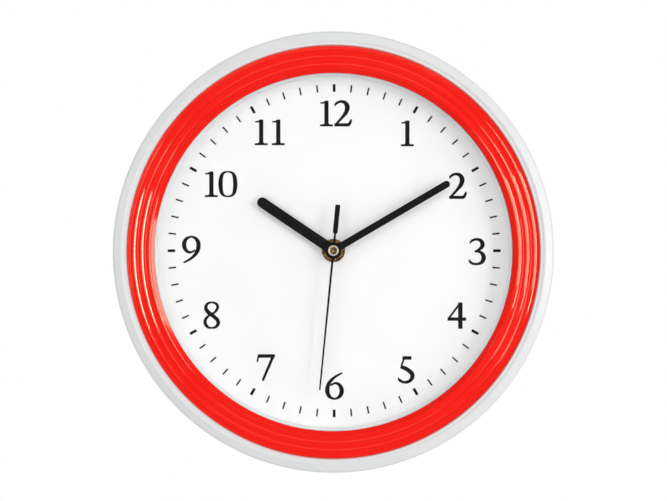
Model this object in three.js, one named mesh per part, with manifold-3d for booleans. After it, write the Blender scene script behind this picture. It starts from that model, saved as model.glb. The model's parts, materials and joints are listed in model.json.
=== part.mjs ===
// A round wall clock with a battery quartz movement, in millimetres, +Z up.
// The front faces -Y and the wall is the plane y = 0, so a depth is a distance in front of the wall.
// The origin is where the hanging nail's shank carries the keyhole, on the wall plane.
import * as THREE from 'three';
import { mergeVertices } from 'three/addons/utils/BufferGeometryUtils.js';
import Module from 'manifold-3d';

const wasm = await Module();
wasm.setup();

// ---------- driving dimensions ----------

// Clearances
const fitGap = 0.3;         // between moulded pieces that drop into each other
const pressGap = 0.1;       // round a shaft in a pressed or bonded bore
const shaftGap = 0.2;       // round a shaft that turns, and at its ends
const stackGap = 0.1;       // along the depth between stacked pieces

// Case: a white rim with its skirt, and a white pan behind the dial that is bonded into it
const caseRadius = 125;
const axisRise = 0.85;          // the hand axis is this far above the case's centre
const caseWall = 2.2;
const rimRollWidth = 8.2;       // from the widest radius in to the groove
const rimCrestInset = 4.6;      // from the widest radius in to the crest
const rimRise = 5.6;            // crest above the front of the lens
const rimShoulder = 10;         // depth from the crest back to the widest radius
const rimBand = 4;              // straight band at the widest radius
const skirtInset = 6.5;         // how far the skirt draws in towards the wall
const ledgeWidth = 2.2;         // inner ledge of the rim that the pan is bonded to
const plateThickness = 2;
const shelfDrop = 1.6;          // shelf behind the back of the lens
const ribCount = 6;
const ribWidth = 1.6;
const ribHeight = 4;
const ribInnerRadius = 50;
const fenceHeight = 4;          // low wall that stops the movement from turning
const fenceWall = 1.6;

// Hanging keyhole
const nailRise = 88;            // nail above the hand axis
const nailSlotWidth = 5;
const nailHeadHole = 9.5;
const nailSlotLength = 10;      // from the nail's seat down to the middle of the head hole
const hangerWidth = 24;
const hangerTop = 8;            // above the nail's seat
const hangerBottom = 12;        // below the middle of the head hole
const hangerWall = 2.2;

// Bezel, lens, dial and the ring between them
const lensThickness = 1.8;
const lipOverlap = 2.5;         // bezel lip over the lens
const lipThickness = 0.9;
const bevelWidth = 2.6;
const bevelRise = 1;
const treadWidth = 4.3;
const treadRise = 0.6;
const treadBulge = 0.3;
const riserHeight = 0.55;
const beadWidth = 4.1;
const beadCrest = 5;            // crest of the outer bead above the lens
const beadShoulder = 1.8;       // outer side of the bezel above the lens
const bezelWall = 2.2;
const dialThickness = 0.6;
const dialRoom = 10;            // from the dial to the lens
const ringWall = 2.6;
const ringDraft = 1.3;          // the ring leans in towards the dial

// Bezel screws
const screwCount = 4;
const screwShank = 1.25;
const screwHead = 2.6;
const screwHeadHeight = 1.7;
const screwLength = 5.5;
const screwBoss = 2.7;

// Movement housing and battery
const knobRoom = 3.2;           // movement stands this far off the wall
const wheelRoom = 0.65;         // from the centre wheel's teeth to the battery bay
const coilRoom = 1.2;           // from the coil to the top wall
const hourWheelRoom = 1.3;      // from the hour wheel to the bushing's flange
const movementCorner = 3;
const housingWall = 1.5;
const housingFront = 1.3;
const coverThickness = 1.2;
const midPlateThickness = 0.6;
const midPlateOffset = 6.8;     // middle plate in front of the rear cover
const partitionWall = 0.9;
const cellRadius = 7.1;
const cellLength = 49.5;
const nubRadius = 2.7;
const nubLength = 1;
const contactThickness = 0.4;
const contactWidth = 7;
const springReach = 1.2;        // sprung bow of the negative contact
const springGap = 0.25;         // left between the bow and the cell

// Bushing, nut and washers
const bushingRadius = 4;
const bushingFlange = 6;
const bushingFlangeThickness = 1;
const bushingProud = 0.6;       // thread past the nut
const washerRadius = 6.65;
const washerThickness = 0.5;
const nutFlats = 10;
const nutThickness = 1.9;
const sealRadius = 11;
const sealThickness = 0.8;

// Hands
const handThickness = 0.45;
const hourHandLength = 51.7;
const hourHandWidth = 5.9;
const hourHub = 4.7;
const minuteHandLength = 76.4;
const minuteHandWidth = 4;
const minuteHub = 4.4;
const handSpacing = 2;          // from one hand's back to the next one's
const hourHandLift = 3.6;       // back of the hour hand above the dial
const secondHandLength = 79.5;
const secondRootWidth = 1.15;
const secondTipWidth = 0.75;
const secondHub = 3.4;
const neckWidth = 1.2;
const tailStart = 9.6;
const tailLength = 26.1;
const tailWidth = 2.4;
const eyeletRadius = 3;
const eyeletRim = 0.9;
const eyeletHeight = 1.4;
const eyeletTube = 1.1;
const shownHour = 304;          // degrees clockwise from twelve
const shownMinute = 59.6;
const shownSecond = 185.6;

// Pipes and arbors at the hand axis
const hourPipe = 2.6;
const hourBore = 2;
const minutePipe = 1.8;
const minuteBore = 0.85;
const secondsArbor = 0.5;
const pivot = 0.5;

// Gear train: module, teeth and depth layers in front of the rear cover
const toothAddendum = 0.9;
const toothDedendum = 1.4;
const wheelTip = 0.2;
const wheelRoot = 0.56;
const pinionTip = 0.1;
const pinionRoot = 0.46;
const wheelThickness = 0.8;
const rotorModule = 0.4;
const rotorLeaves = 6;
const intermediateTeeth = 36;
const secondsModule = 0.5333;
const intermediateLeaves = 6;
const secondsTeeth = 30;
const thirdModule = 0.44;
const secondsLeaves = 6;
const thirdTeeth = 45;
const thirdLeaves = 6;
const centreTeeth = 48;
const minuteModule = 0.75;
const cannonLeaves = 8;
const minuteTeeth = 24;
const minuteLeaves = 8;
const hourTeeth = 32;
const thirdBearing = 0;         // degrees from +X at the hand axis
const minuteBearing = 75;
const intermediateBearing = 150;
const rotorBearing = 120;       // degrees from +X at the intermediate arbor

// Motor, coil and electronics
const magnetRadius = 3;
const magnetLength = 2.2;
const statorThickness = 1;
const statorGap = 0.5;
const statorArm = 3;
const statorWeb = 1.1;          // iron left above and below the rotor hole
const statorOverhang = 1.5;     // arms reach this far past the coil's core
const coilLength = 13;
const coilRadius = 4;
const coreWidth = 3;
const coreThickness = 1;
const flangeThickness = 0.6;
const flangeSize = 8.4;
const bobbinWall = 0.5;
const boardWidth = 18.5;
const boardHeight = 12;
const boardThickness = 1;
const boardOffset = 2;          // board in front of the rear cover
const crystalRadius = 1;
const crystalLength = 6;
const chipSize = 5;
const chipThickness = 1;

// Set knob
const stemRadius = 1.2;
const knobRadius = 5.5;
const knobHeight = 2.1;
const knobGrooves = 12;
const knobGrooveDepth = 0.35;

// Facets round a full turn
const ringSides = 56;
const roundSides = 20;
const smallSides = 12;

// ---------- depths worked out from the sizes above ----------

const coverBack = knobRoom;
const coverFront = coverBack + coverThickness;
const midPlateBack = coverFront + midPlateOffset - midPlateThickness;
const midPlateFront = coverFront + midPlateOffset;

// Layers of the train, from the rear cover forwards
const intermediateBack = coverFront + 1;
const secondsBack = intermediateBack + wheelThickness + 1;
const thirdBack = secondsBack + wheelThickness + 0.6;
const centreBack = midPlateFront + stackGap + shaftGap;
const cannonBack = centreBack + wheelThickness + stackGap;
const minuteWheelBack = cannonBack + 0.6;
const hourWheelBack = minuteWheelBack + wheelThickness + 1;
const cannonFront = minuteWheelBack + wheelThickness + 0.5;
const magnetBack = coverFront + 3;
const statorBack = magnetBack + (magnetLength - statorThickness) / 2;

// From the front of the movement out to the rim; the movement is 16 mm thick
const chamberFront = hourWheelBack + wheelThickness + hourWheelRoom + bushingFlangeThickness;
const movementFront = chamberFront + housingFront;
const plateBack = movementFront + sealThickness;
const plateFront = plateBack + plateThickness;
const dialFront = plateFront + dialThickness;
const lensBack = dialFront + dialRoom;
const lensFront = lensBack + lensThickness;
const shelfFront = lensBack - shelfDrop;
const shelfBack = shelfFront - caseWall;
const rimCrest = lensFront + rimRise;
const washerFront = dialFront + washerThickness;
const nutFront = washerFront + nutThickness;
const bushingFront = nutFront + bushingProud;
const hourHandBack = dialFront + hourHandLift;
const minuteHandBack = hourHandBack + handSpacing;
const secondHandBack = minuteHandBack + handSpacing;
// ---------- radii worked out from the sizes above ----------

const grooveRadius = caseRadius - rimRollWidth;
const bezelRadius = grooveRadius - fitGap;
const lipRadius = bezelRadius - beadWidth - 2 * treadWidth - bevelWidth;
const insetRadius = lipRadius + lipOverlap;
const pocketRadius = insetRadius + fitGap;
const bushingBore = hourPipe + shaftGap;
const axisHole = bushingRadius + fitGap;
const leadRoom = contactThickness + fitGap + shaftGap;

// ---------- helpers ----------

const colours = {
  whiteAbs: { color: 0xf0f0ec, roughness: 0.3, metalness: 0 },
  redAbs: { color: 0xf2190f, roughness: 0.15, metalness: 0 },
  clear: { color: 0xf4f8f8, roughness: 0.05, metalness: 0, transparent: true, opacity: 0.3 },
  card: { color: 0xfafafa, roughness: 0.7, metalness: 0 },
  blackPlastic: { color: 0x1b1b1d, roughness: 0.45, metalness: 0 },
  naturalPlastic: { color: 0xe6e4dc, roughness: 0.4, metalness: 0 },
  orangePlastic: { color: 0xd8621e, roughness: 0.4, metalness: 0 },
  brass: { color: 0xb08d4a, roughness: 0.3, metalness: 1 },
  steel: { color: 0xb8bbc0, roughness: 0.3, metalness: 1 },
  magnet: { color: 0x3a3a3c, roughness: 0.4, metalness: 1 },
  copper: { color: 0xb5622e, roughness: 0.35, metalness: 1 },
  rubber: { color: 0x141414, roughness: 0.9, metalness: 0 },
  blackPaint: { color: 0x161616, roughness: 0.6, metalness: 0 },
  board: { color: 0x2c6b3a, roughness: 0.5, metalness: 0 },
  cellSleeve: { color: 0x2b4f86, roughness: 0.35, metalness: 0 },
};

function piece(name, geometry, colour) {
  const mesh = new THREE.Mesh(geometry, new THREE.MeshStandardMaterial(colours[colour]));
  mesh.name = name;
  return mesh;
}

// Leaves only positions, joins shared vertices and drops faces that have no area.
function welded(geometry) {
  const bare = geometry.clone();
  bare.deleteAttribute('normal');
  bare.deleteAttribute('uv');
  const merged = mergeVertices(bare, 1e-4);
  const kept = [];
  for (let i = 0; i < merged.index.count; i += 3) {
    const [a, b, c] = [0, 1, 2].map((k) => merged.index.getX(i + k));
    if (a !== b && b !== c && c !== a) kept.push(a, b, c);
  }
  merged.setIndex(kept);
  return merged;
}

function toSolid(geometry) {
  const merged = welded(geometry);
  const mesh = new wasm.Mesh({
    numProp: 3,
    vertProperties: new Float32Array(merged.attributes.position.array),
    triVerts: new Uint32Array(merged.index.array),
  });
  return new wasm.Manifold(mesh);
}

function fromSolid(solid) {
  const mesh = solid.getMesh();
  const geometry = new THREE.BufferGeometry();
  geometry.setAttribute('position', new THREE.BufferAttribute(mesh.vertProperties, 3));
  geometry.setIndex(new THREE.BufferAttribute(mesh.triVerts, 1));
  const flat = geometry.toNonIndexed();
  flat.computeVertexNormals();
  return flat;
}

// First solid with the next ones added to it.
function joined(...geometries) {
  return fromSolid(geometries.map(toSolid).reduce((whole, next) => whole.add(next)));
}

// A body with each of the cutters taken out of it.
function cut(body, ...cutters) {
  return fromSolid(cutters.map(toSolid).reduce((left, next) => left.subtract(next), toSolid(body)));
}

// Turns a closed loop of [radius, depth] round the hand axis; the loop runs clockwise
// with the radius to the right and the depth upwards.
function turned(loop, sides = ringSides) {
  const closed = [...loop, loop[0]].map(([radius, depth]) => new THREE.Vector2(radius, -depth));
  return new THREE.LatheGeometry(closed, sides);
}

// A round bar along the depth, with an optional bore.
function bar(radius, back, front, bore = 0, sides = roundSides) {
  if (bore > 0) {
    return turned([[bore, back], [bore, front], [radius, front], [radius, back]], sides);
  }
  const loop = [[0, back], [0, front], [radius, front], [radius, back]];
  return turned(loop, sides);
}

// A front-view outline, x to the right and z up, made solid from one depth to another.
function slab(outline, back, front) {
  const options = { depth: front - back, bevelEnabled: false, curveSegments: roundSides };
  return new THREE.ExtrudeGeometry(outline, options)
    .rotateX(Math.PI / 2)
    .translate(0, -back, 0);
}

function polygon(points) {
  return new THREE.Shape(points.map(([x, z]) => new THREE.Vector2(x, z)));
}

function rectangle(left, bottom, right, top) {
  return polygon([[left, bottom], [right, bottom], [right, top], [left, top]]);
}

function circlePoints(x, z, radius, sides) {
  return Array.from({ length: sides }, (_, k) => {
    const angle = (2 * Math.PI * k) / sides;
    return [x + radius * Math.cos(angle), z + radius * Math.sin(angle)];
  });
}

function hole(x, z, radius, sides = roundSides) {
  return new THREE.Path(circlePoints(x, z, radius, sides).map(([a, b]) => new THREE.Vector2(a, b)));
}

function drill(x, z, radius, back, front, sides = roundSides) {
  return slab(polygon(circlePoints(x, z, radius, sides)), back, front);
}

// Points of an elliptical arc from one angle to another, both in degrees, ends included.
function arc(centre, across, along, from, to, steps) {
  return Array.from({ length: steps + 1 }, (_, k) => {
    const angle = THREE.MathUtils.degToRad(from + ((to - from) * k) / steps);
    return [centre[0] + across * Math.cos(angle), centre[1] + along * Math.sin(angle)];
  });
}

// A bowed line between two profile points, its middle raised by the bulge.
function bowed([r0, d0], [r1, d1], bulge) {
  return [[r0, d0], [(r0 + r1) / 2, (d0 + d1) / 2 + bulge], [r1, d1]];
}

function polar(distance, degrees, from = [0, 0]) {
  const angle = THREE.MathUtils.degToRad(degrees);
  return [from[0] + distance * Math.cos(angle), from[1] + distance * Math.sin(angle)];
}

// ---------- gears ----------

const pitch = (teeth, module) => (teeth * module) / 2;
const spread = (one, other, module) => ((one + other) * module) / 2;

const thirdSpread = spread(secondsLeaves, thirdTeeth, thirdModule);
const centreModule = (2 * thirdSpread) / (thirdLeaves + centreTeeth);
const minuteSpread = spread(cannonLeaves, minuteTeeth, minuteModule);
const hourModule = (2 * minuteSpread) / (minuteLeaves + hourTeeth);
const intermediateSpread = spread(intermediateLeaves, secondsTeeth, secondsModule);
const rotorSpread = spread(rotorLeaves, intermediateTeeth, rotorModule);

const thirdAt = polar(thirdSpread, thirdBearing);
const minuteAt = polar(minuteSpread, minuteBearing);
const intermediateAt = polar(intermediateSpread, intermediateBearing);
const rotorAt = polar(rotorSpread, rotorBearing, intermediateAt);

// ---------- the motor's coil and the movement's box, round the train and the cell ----------

const centreTip = pitch(centreTeeth, centreModule) + toothAddendum * centreModule;
const statorReach = magnetRadius + statorGap + statorWeb;
const coilRise = statorReach + flangeSize / 2 + shaftGap;
const coilAt = [rotorAt[0], rotorAt[1] + coilRise];
const partitionTop = -centreTip - wheelRoom;
const cellZ = partitionTop - partitionWall - shaftGap - cellRadius;
const cellDepth = chamberFront - shaftGap - cellRadius;
const contactStack = 2 * contactThickness + springReach + springGap + 2.5 * stackGap;
const movementSide = (cellLength + nubLength + contactStack) / 2 + housingWall;
const movementTop = coilAt[1] + flangeSize / 2 + coilRoom + housingWall;
const movementBottom = cellZ - cellRadius - shaftGap - housingWall;

// The movement's front-view outline, 56 mm each way, grown by an offset.
function movementOutline(offset) {
  const corner = movementCorner + offset;
  const flat = movementSide - movementCorner;
  const low = movementBottom + movementCorner;
  const high = movementTop - movementCorner;
  const quarters = [[flat, low, -90], [flat, high, 0], [-flat, high, 90], [-flat, low, 180]];
  return quarters.flatMap(([x, z, start]) => arc([x, z], corner, corner, start, start + 90, 3));
}

// Toothed outline with one tooth's middle at the given angle; pinions have slimmer leaves.
function toothed(teeth, module, toothAngle, isPinion) {
  const half = Math.PI / teeth;
  const tip = half * (isPinion ? pinionTip : wheelTip);
  const root = half * (isPinion ? pinionRoot : wheelRoot);
  const outer = pitch(teeth, module) + toothAddendum * module;
  const inner = pitch(teeth, module) - toothDedendum * module;
  const points = [];
  for (let k = 0; k < teeth; k += 1) {
    const middle = THREE.MathUtils.degToRad(toothAngle) + 2 * half * k;
    for (const [radius, offset] of [[inner, -root], [outer, -tip], [outer, tip], [inner, root]]) {
      points.push([radius * Math.cos(middle + offset), radius * Math.sin(middle + offset)]);
    }
  }
  return polygon(points);
}

// The driving pinion has a leaf towards the wheel, and the wheel a gap towards the pinion.
const pinionAngle = (bearing) => bearing;
const wheelAngle = (bearing, teeth) => bearing + 180 + 180 / teeth;

function gearAt(mesh, [x, z]) {
  mesh.position.set(x, 0, z);
  return mesh;
}

// ---------- case, bezel, lens, dial ----------

function caseProfile(inset) {
  const crestRadius = caseRadius - rimCrestInset;
  const outerAcross = rimCrestInset - inset;
  const outerAlong = rimShoulder - inset;
  const innerAcross = rimRollWidth - rimCrestInset - inset;
  const shoulder = rimCrest - rimShoulder;
  const grooveTop = rimCrest - (rimRollWidth - rimCrestInset);
  const skirtEnd = caseRadius - skirtInset - inset;
  return [
    ...arc([crestRadius, grooveTop], innerAcross, innerAcross, 180, 90, 3),
    ...arc([crestRadius, shoulder], outerAcross, outerAlong, 90, 0, 5).slice(1),
    [caseRadius - inset, shoulder - rimBand],
    [skirtEnd, 0],
  ];
}

function screwSpots() {
  const radius = (bezelRadius - bezelWall + pocketRadius + fitGap + bezelWall) / 2;
  return Array.from({ length: screwCount }, (_, k) => polar(radius, (360 * (k + 0.5)) / screwCount));
}

// The pan behind the dial: centre plate, pocket wall and the shelf that the bezel stands on.
function panShell() {
  return turned([
    [0, plateBack],
    [0, plateFront],
    [pocketRadius, plateFront],
    [pocketRadius, shelfFront],
    [grooveRadius - fitGap, shelfFront],
    [grooveRadius - fitGap, shelfBack],
    [pocketRadius + caseWall, shelfBack],
    [pocketRadius + caseWall, plateBack],
  ]);
}

function stiffeningRibs() {
  const outer = pocketRadius + caseWall / 2;
  return Array.from({ length: ribCount }, (_, k) => {
    const rib = rectangle(ribInnerRadius, -ribWidth / 2, outer, ribWidth / 2);
    return slab(rib, plateBack - ribHeight, plateBack + plateThickness / 2)
      .rotateY(-THREE.MathUtils.degToRad((360 * k) / ribCount));
  });
}

function movementFence() {
  const ring = polygon(movementOutline(fitGap + fenceWall));
  ring.holes.push(polygon(movementOutline(fitGap)));
  return slab(ring, plateBack - fenceHeight, plateBack + plateThickness / 2);
}

// Box behind the plate with the keyhole in its back; its front is open for the mould and
// closed by the dial.
function hangerBox() {
  const top = nailRise + hangerTop;
  const bottom = nailRise - nailSlotLength - hangerBottom;
  const half = hangerWidth / 2;
  return slab(rectangle(-half, bottom, half, top), 0, plateBack + plateThickness / 2);
}

function hangerCuts() {
  const head = nailRise - nailSlotLength;
  const half = hangerWidth / 2 - hangerWall;
  const top = nailRise + hangerTop - hangerWall;
  const bottom = head - hangerBottom + hangerWall;
  const slot = nailSlotWidth / 2;
  return [
    slab(rectangle(-half, bottom, half, top), hangerWall, plateFront + 1),
    drill(0, head, nailHeadHole / 2, -1, hangerWall + 1),
    slab(rectangle(-slot, head, slot, nailRise), -1, hangerWall + 1),
    drill(0, nailRise, slot, -1, hangerWall + 1),
  ];
}

// The pan is round about the case's centre, and its fence, hanger and hole are set from the
// hand axis.
function makeBackPan() {
  const round = [panShell(), ...stiffeningRibs()].map((part) => part.translate(0, 0, -axisRise));
  const blank = joined(...round, movementFence(), hangerBox());
  const screwHoles = screwSpots().map(([x, z]) =>
    drill(x, z - axisRise, screwShank + fitGap, shelfBack - 1, shelfFront + 1, smallSides));
  const axisBore = drill(0, 0, axisHole, plateBack - 1, plateFront + 1);
  return piece('back_pan', cut(blank, ...hangerCuts(), ...screwHoles, axisBore), 'whiteAbs');
}

// Rim roll and skirt, with the ledge that carries the pan.
function makeCase() {
  const ledgeBack = shelfBack - caseWall;
  const rim = turned([
    [grooveRadius - ledgeWidth, ledgeBack],
    [grooveRadius - ledgeWidth, shelfBack],
    [grooveRadius, shelfBack],
    ...caseProfile(0),
    ...caseProfile(caseWall).reverse(),
    [grooveRadius + caseWall, ledgeBack],
  ]);
  return piece('case', rim, 'whiteAbs');
}

function bezelTop() {
  const points = [[lipRadius, lensFront], [lipRadius, lensFront + lipThickness]];
  let radius = lipRadius + bevelWidth;
  let depth = lensFront + lipThickness + bevelRise;
  points.push([radius, depth]);
  for (let tread = 0; tread < 2; tread += 1) {
    depth += riserHeight;
    points.push(...bowed([radius, depth], [radius + treadWidth, depth + treadRise], treadBulge));
    radius += treadWidth;
    depth += treadRise;
  }
  const beadDepth = depth + riserHeight;
  const crest = lensFront + beadCrest;
  points.push([radius, beadDepth]);
  const middle = (radius + bezelRadius) / 2;
  points.push([(radius + middle) / 2, (beadDepth + crest) / 2 + treadBulge / 2]);
  const shoulder = [middle, lensFront + beadShoulder];
  points.push(...arc(shoulder, bezelRadius - middle, beadCrest - beadShoulder, 90, 0, 4));
  return points;
}

const bezelHollow = lensFront + lipThickness + bevelRise + riserHeight - bezelWall;

function bezelRing() {
  const outer = bezelRadius - bezelWall;
  const inner = pocketRadius + fitGap + bezelWall;
  return turned([
    ...bezelTop(),
    [bezelRadius, shelfFront],
    [outer, shelfFront],
    [outer, bezelHollow],
    [inner, bezelHollow],
    [inner, shelfFront],
    [pocketRadius, shelfFront],
    [pocketRadius, lensFront],
  ]);
}

function makeBezel() {
  const bosses = screwSpots().map(([x, z]) =>
    drill(x, z, screwBoss, shelfFront, bezelHollow + bezelWall / 4, smallSides));
  const pilots = screwSpots().map(([x, z]) =>
    drill(x, z, screwShank + pressGap, shelfFront - 1, bezelHollow, smallSides));
  return piece('bezel', cut(joined(bezelRing(), ...bosses), ...pilots), 'redAbs');
}

function makeLens() {
  return piece('lens', bar(insetRadius, lensBack, lensFront, 0, ringSides), 'clear');
}

function makeSpacerRing() {
  const front = insetRadius - ringWall;
  const loop = [
    [front - ringDraft, dialFront],
    [front, lensBack],
    [insetRadius, lensBack],
    [insetRadius, dialFront],
  ];
  return piece('spacer_ring', turned(loop), 'whiteAbs');
}

function makeDial() {
  const sheet = bar(insetRadius, plateFront, dialFront, 0, ringSides).translate(0, 0, -axisRise);
  const axisBore = drill(0, 0, axisHole, plateFront - 1, dialFront + 1);
  return piece('dial', cut(sheet, axisBore), 'card');
}

function bezelScrew(index, [x, z]) {
  const back = shelfBack - screwHeadHeight;
  const front = shelfBack + screwLength;
  const loop = [
    [0, back],
    [0, front],
    [screwShank / 2, front],
    [screwShank, front - screwShank],
    [screwShank, shelfBack],
    [screwHead, shelfBack],
    [screwHead, shelfBack - screwHeadHeight / 2],
    [screwHead * 0.7, back],
  ];
  const slotHalf = screwHead * 0.6;
  const slot = slab(rectangle(-slotHalf, -0.3, slotHalf, 0.3), back - 1, back + screwHeadHeight / 2);
  const screw = piece(`bezel_screw_${index + 1}`, cut(turned(loop, smallSides), slot), 'steel');
  return gearAt(screw, [x, z]);
}

// ---------- hands ----------

// A bar from the hub to a round tip, drawn pointing to twelve.
function barHand(length, width, hub, bore) {
  const half = width / 2;
  const shoulder = Math.sqrt(hub * hub - half * half);
  const start = THREE.MathUtils.radToDeg(Math.atan2(shoulder, half));
  const outline = [
    ...arc([0, length - half], half, half, 0, 180, 8),
    ...arc([0, 0], hub, hub, 180 - start, 360 + start, 16),
  ];
  const shape = polygon(outline);
  shape.holes.push(hole(0, 0, bore));
  return shape;
}

function turnTo(mesh, degrees) {
  mesh.rotation.y = THREE.MathUtils.degToRad(degrees);
  return mesh;
}

function makeHourHand() {
  const shape = barHand(hourHandLength, hourHandWidth, hourHub, hourPipe + pressGap);
  const hand = piece('hour_hand', slab(shape, hourHandBack, hourHandBack + handThickness), 'blackPaint');
  return turnTo(hand, shownHour);
}

function makeMinuteHand() {
  const shape = barHand(minuteHandLength, minuteHandWidth, minuteHub, minutePipe + pressGap);
  const front = minuteHandBack + handThickness;
  return turnTo(piece('minute_hand', slab(shape, minuteHandBack, front), 'blackPaint'), shownMinute);
}

function makeSecondHand() {
  const root = secondRootWidth / 2;
  const neck = neckWidth / 2;
  const tail = tailWidth / 2;
  const rootZ = Math.sqrt(secondHub * secondHub - root * root);
  const neckZ = Math.sqrt(secondHub * secondHub - neck * neck);
  const rootAngle = THREE.MathUtils.radToDeg(Math.atan2(rootZ, root));
  const neckAngle = THREE.MathUtils.radToDeg(Math.atan2(neckZ, neck));
  const outline = [
    [secondTipWidth / 2, secondHandLength],
    [-secondTipWidth / 2, secondHandLength],
    ...arc([0, 0], secondHub, secondHub, 180 - rootAngle, 180 + neckAngle, 8),
    [-neck, -tailStart],
    [-tail, -tailStart - neckWidth / 2],
    [-tail, -tailLength],
    [tail, -tailLength],
    [tail, -tailStart - neckWidth / 2],
    [neck, -tailStart],
    ...arc([0, 0], secondHub, secondHub, 360 - neckAngle, 360 + rootAngle, 8),
  ];
  const shape = polygon(outline);
  shape.holes.push(hole(0, 0, eyeletTube + pressGap, smallSides));
  const front = secondHandBack + handThickness;
  return turnTo(piece('second_hand', slab(shape, secondHandBack, front), 'blackPaint'), shownSecond);
}

// Brass cup that grips the seconds arbor and shows as a bright ring in front of the hand.
function makeEyelet() {
  const handFront = secondHandBack + handThickness + stackGap;
  const bore = secondsArbor + pressGap;
  const rim = eyeletRadius - eyeletRim;
  const loop = [
    [bore, secondHandBack - handThickness],
    [bore, handFront + eyeletHeight / 3],
    [rim, handFront + eyeletHeight / 3],
    [rim, handFront + eyeletHeight],
    [eyeletRadius - eyeletRim / 3, handFront + eyeletHeight],
    [eyeletRadius, handFront + eyeletHeight * 0.7],
    [eyeletRadius, handFront],
    [eyeletTube, handFront],
    [eyeletTube, secondHandBack - handThickness],
  ];
  return piece('second_hand_eyelet', turned(loop, roundSides), 'brass');
}

// ---------- fixing at the hand axis ----------

function makeBushing() {
  const loop = [
    [bushingBore, chamberFront - bushingFlangeThickness],
    [bushingBore, bushingFront],
    [bushingRadius, bushingFront],
    [bushingRadius, chamberFront],
    [bushingFlange, chamberFront],
    [bushingFlange, chamberFront - bushingFlangeThickness],
  ];
  return piece('threaded_bushing', turned(loop, roundSides), 'brass');
}

function makeNut() {
  const across = nutFlats / 2 / Math.cos(Math.PI / 6);
  const shape = polygon(circlePoints(0, 0, across, 6));
  shape.holes.push(hole(0, 0, axisHole));
  return piece('hex_nut', slab(shape, washerFront, nutFront), 'brass');
}

function makeBrassWasher() {
  return piece('brass_washer', bar(washerRadius, dialFront, washerFront, axisHole), 'brass');
}

function makeRubberWasher() {
  return piece('rubber_washer', bar(sealRadius, movementFront, plateBack, axisHole), 'rubber');
}

// ---------- movement ----------

function makeHousing() {
  const inner = movementSide - housingWall;
  const block = slab(polygon(movementOutline(0)), coverFront, movementFront);
  const back = coverFront - 1;
  const partitionBottom = partitionTop - partitionWall;
  const slot = inner - leadRoom;
  const pocket = (left, bottom, right, top) => slab(rectangle(left, bottom, right, top), back, chamberFront);
  const hollows = [
    pocket(-inner, partitionTop, inner, movementTop - housingWall),
    pocket(-inner, movementBottom + housingWall, inner, partitionBottom),
    pocket(slot, partitionBottom - 1, inner, partitionTop + 1),
    pocket(-inner, partitionBottom - 1, -slot, partitionTop + 1),
  ];
  const axisBore = drill(0, 0, axisHole, chamberFront - 1, movementFront + 1);
  return piece('movement_housing', cut(block, ...hollows, axisBore), 'blackPlastic');
}

function makeCover() {
  const plate = slab(polygon(movementOutline(0)), coverBack, coverFront);
  const cellOpening = slab(
    rectangle(-2 * movementSide, 2 * movementBottom, 2 * movementSide, partitionTop - partitionWall),
    coverBack - 1,
    coverFront + 1,
  );
  const stemHole = drill(...minuteAt, stemRadius + shaftGap, coverBack - 1, coverFront + 1);
  return piece('movement_cover', cut(plate, cellOpening, stemHole), 'blackPlastic');
}

function makeMiddlePlate() {
  const side = movementSide - housingWall - leadRoom;
  const top = rotorAt[1] + magnetRadius + statorGap;
  const shape = rectangle(-side, partitionTop + fitGap, side, top);
  shape.holes.push(hole(0, 0, secondsArbor + shaftGap, smallSides));
  shape.holes.push(hole(...thirdAt, pivot + shaftGap, smallSides));
  shape.holes.push(hole(...intermediateAt, pivot + shaftGap, smallSides));
  shape.holes.push(hole(...rotorAt, pivot + shaftGap, smallSides));
  shape.holes.push(hole(...minuteAt, stemRadius + shaftGap, smallSides));
  return piece('middle_plate', slab(shape, midPlateBack, midPlateFront), 'naturalPlastic');
}

function makeRotor() {
  const back = magnetBack;
  const front = magnetBack + magnetLength;
  const pinion = slab(
    toothed(rotorLeaves, rotorModule, pinionAngle(rotorBearing + 180), true),
    intermediateBack - shaftGap,
    back - stackGap,
  );
  const shaft = bar(pivot, coverFront + shaftGap, midPlateFront, 0, smallSides);
  const magnet = bar(magnetRadius, back, front, pivot + pressGap);
  return [
    gearAt(piece('rotor_pinion', joined(pinion, shaft), 'naturalPlastic'), rotorAt),
    gearAt(piece('rotor_magnet', magnet, 'magnet'), rotorAt),
  ];
}

function makeIntermediateWheel() {
  const front = intermediateBack + wheelThickness;
  const wheelPhase = wheelAngle(rotorBearing, intermediateTeeth) + 180;
  const pinionPhase = pinionAngle(intermediateBearing + 180);
  const wheel = toothed(intermediateTeeth, rotorModule, wheelPhase, false);
  const pinion = toothed(intermediateLeaves, secondsModule, pinionPhase, true);
  const solid = joined(
    slab(wheel, intermediateBack, front),
    slab(pinion, intermediateBack + wheelThickness / 2, secondsBack + wheelThickness + shaftGap),
    bar(pivot, coverFront + shaftGap, midPlateFront, 0, smallSides),
  );
  return gearAt(piece('intermediate_wheel', solid, 'naturalPlastic'), intermediateAt);
}

function makeSecondsWheel() {
  const wheelPhase = wheelAngle(intermediateBearing + 180, secondsTeeth);
  const wheel = toothed(secondsTeeth, secondsModule, wheelPhase, false);
  const pinion = toothed(secondsLeaves, thirdModule, pinionAngle(thirdBearing), true);
  const solid = joined(
    slab(wheel, secondsBack, secondsBack + wheelThickness),
    slab(pinion, secondsBack + wheelThickness / 2, thirdBack + wheelThickness + shaftGap),
  );
  const bore = bar(secondsArbor + pressGap, 0, lensFront, 0, smallSides);
  return piece('seconds_wheel', cut(solid, bore), 'naturalPlastic');
}

function makeSecondsArbor() {
  const front = secondHandBack + handThickness + stackGap + eyeletHeight / 2;
  return piece('seconds_arbor', bar(secondsArbor, coverFront + shaftGap, front, 0, smallSides), 'steel');
}

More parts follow.
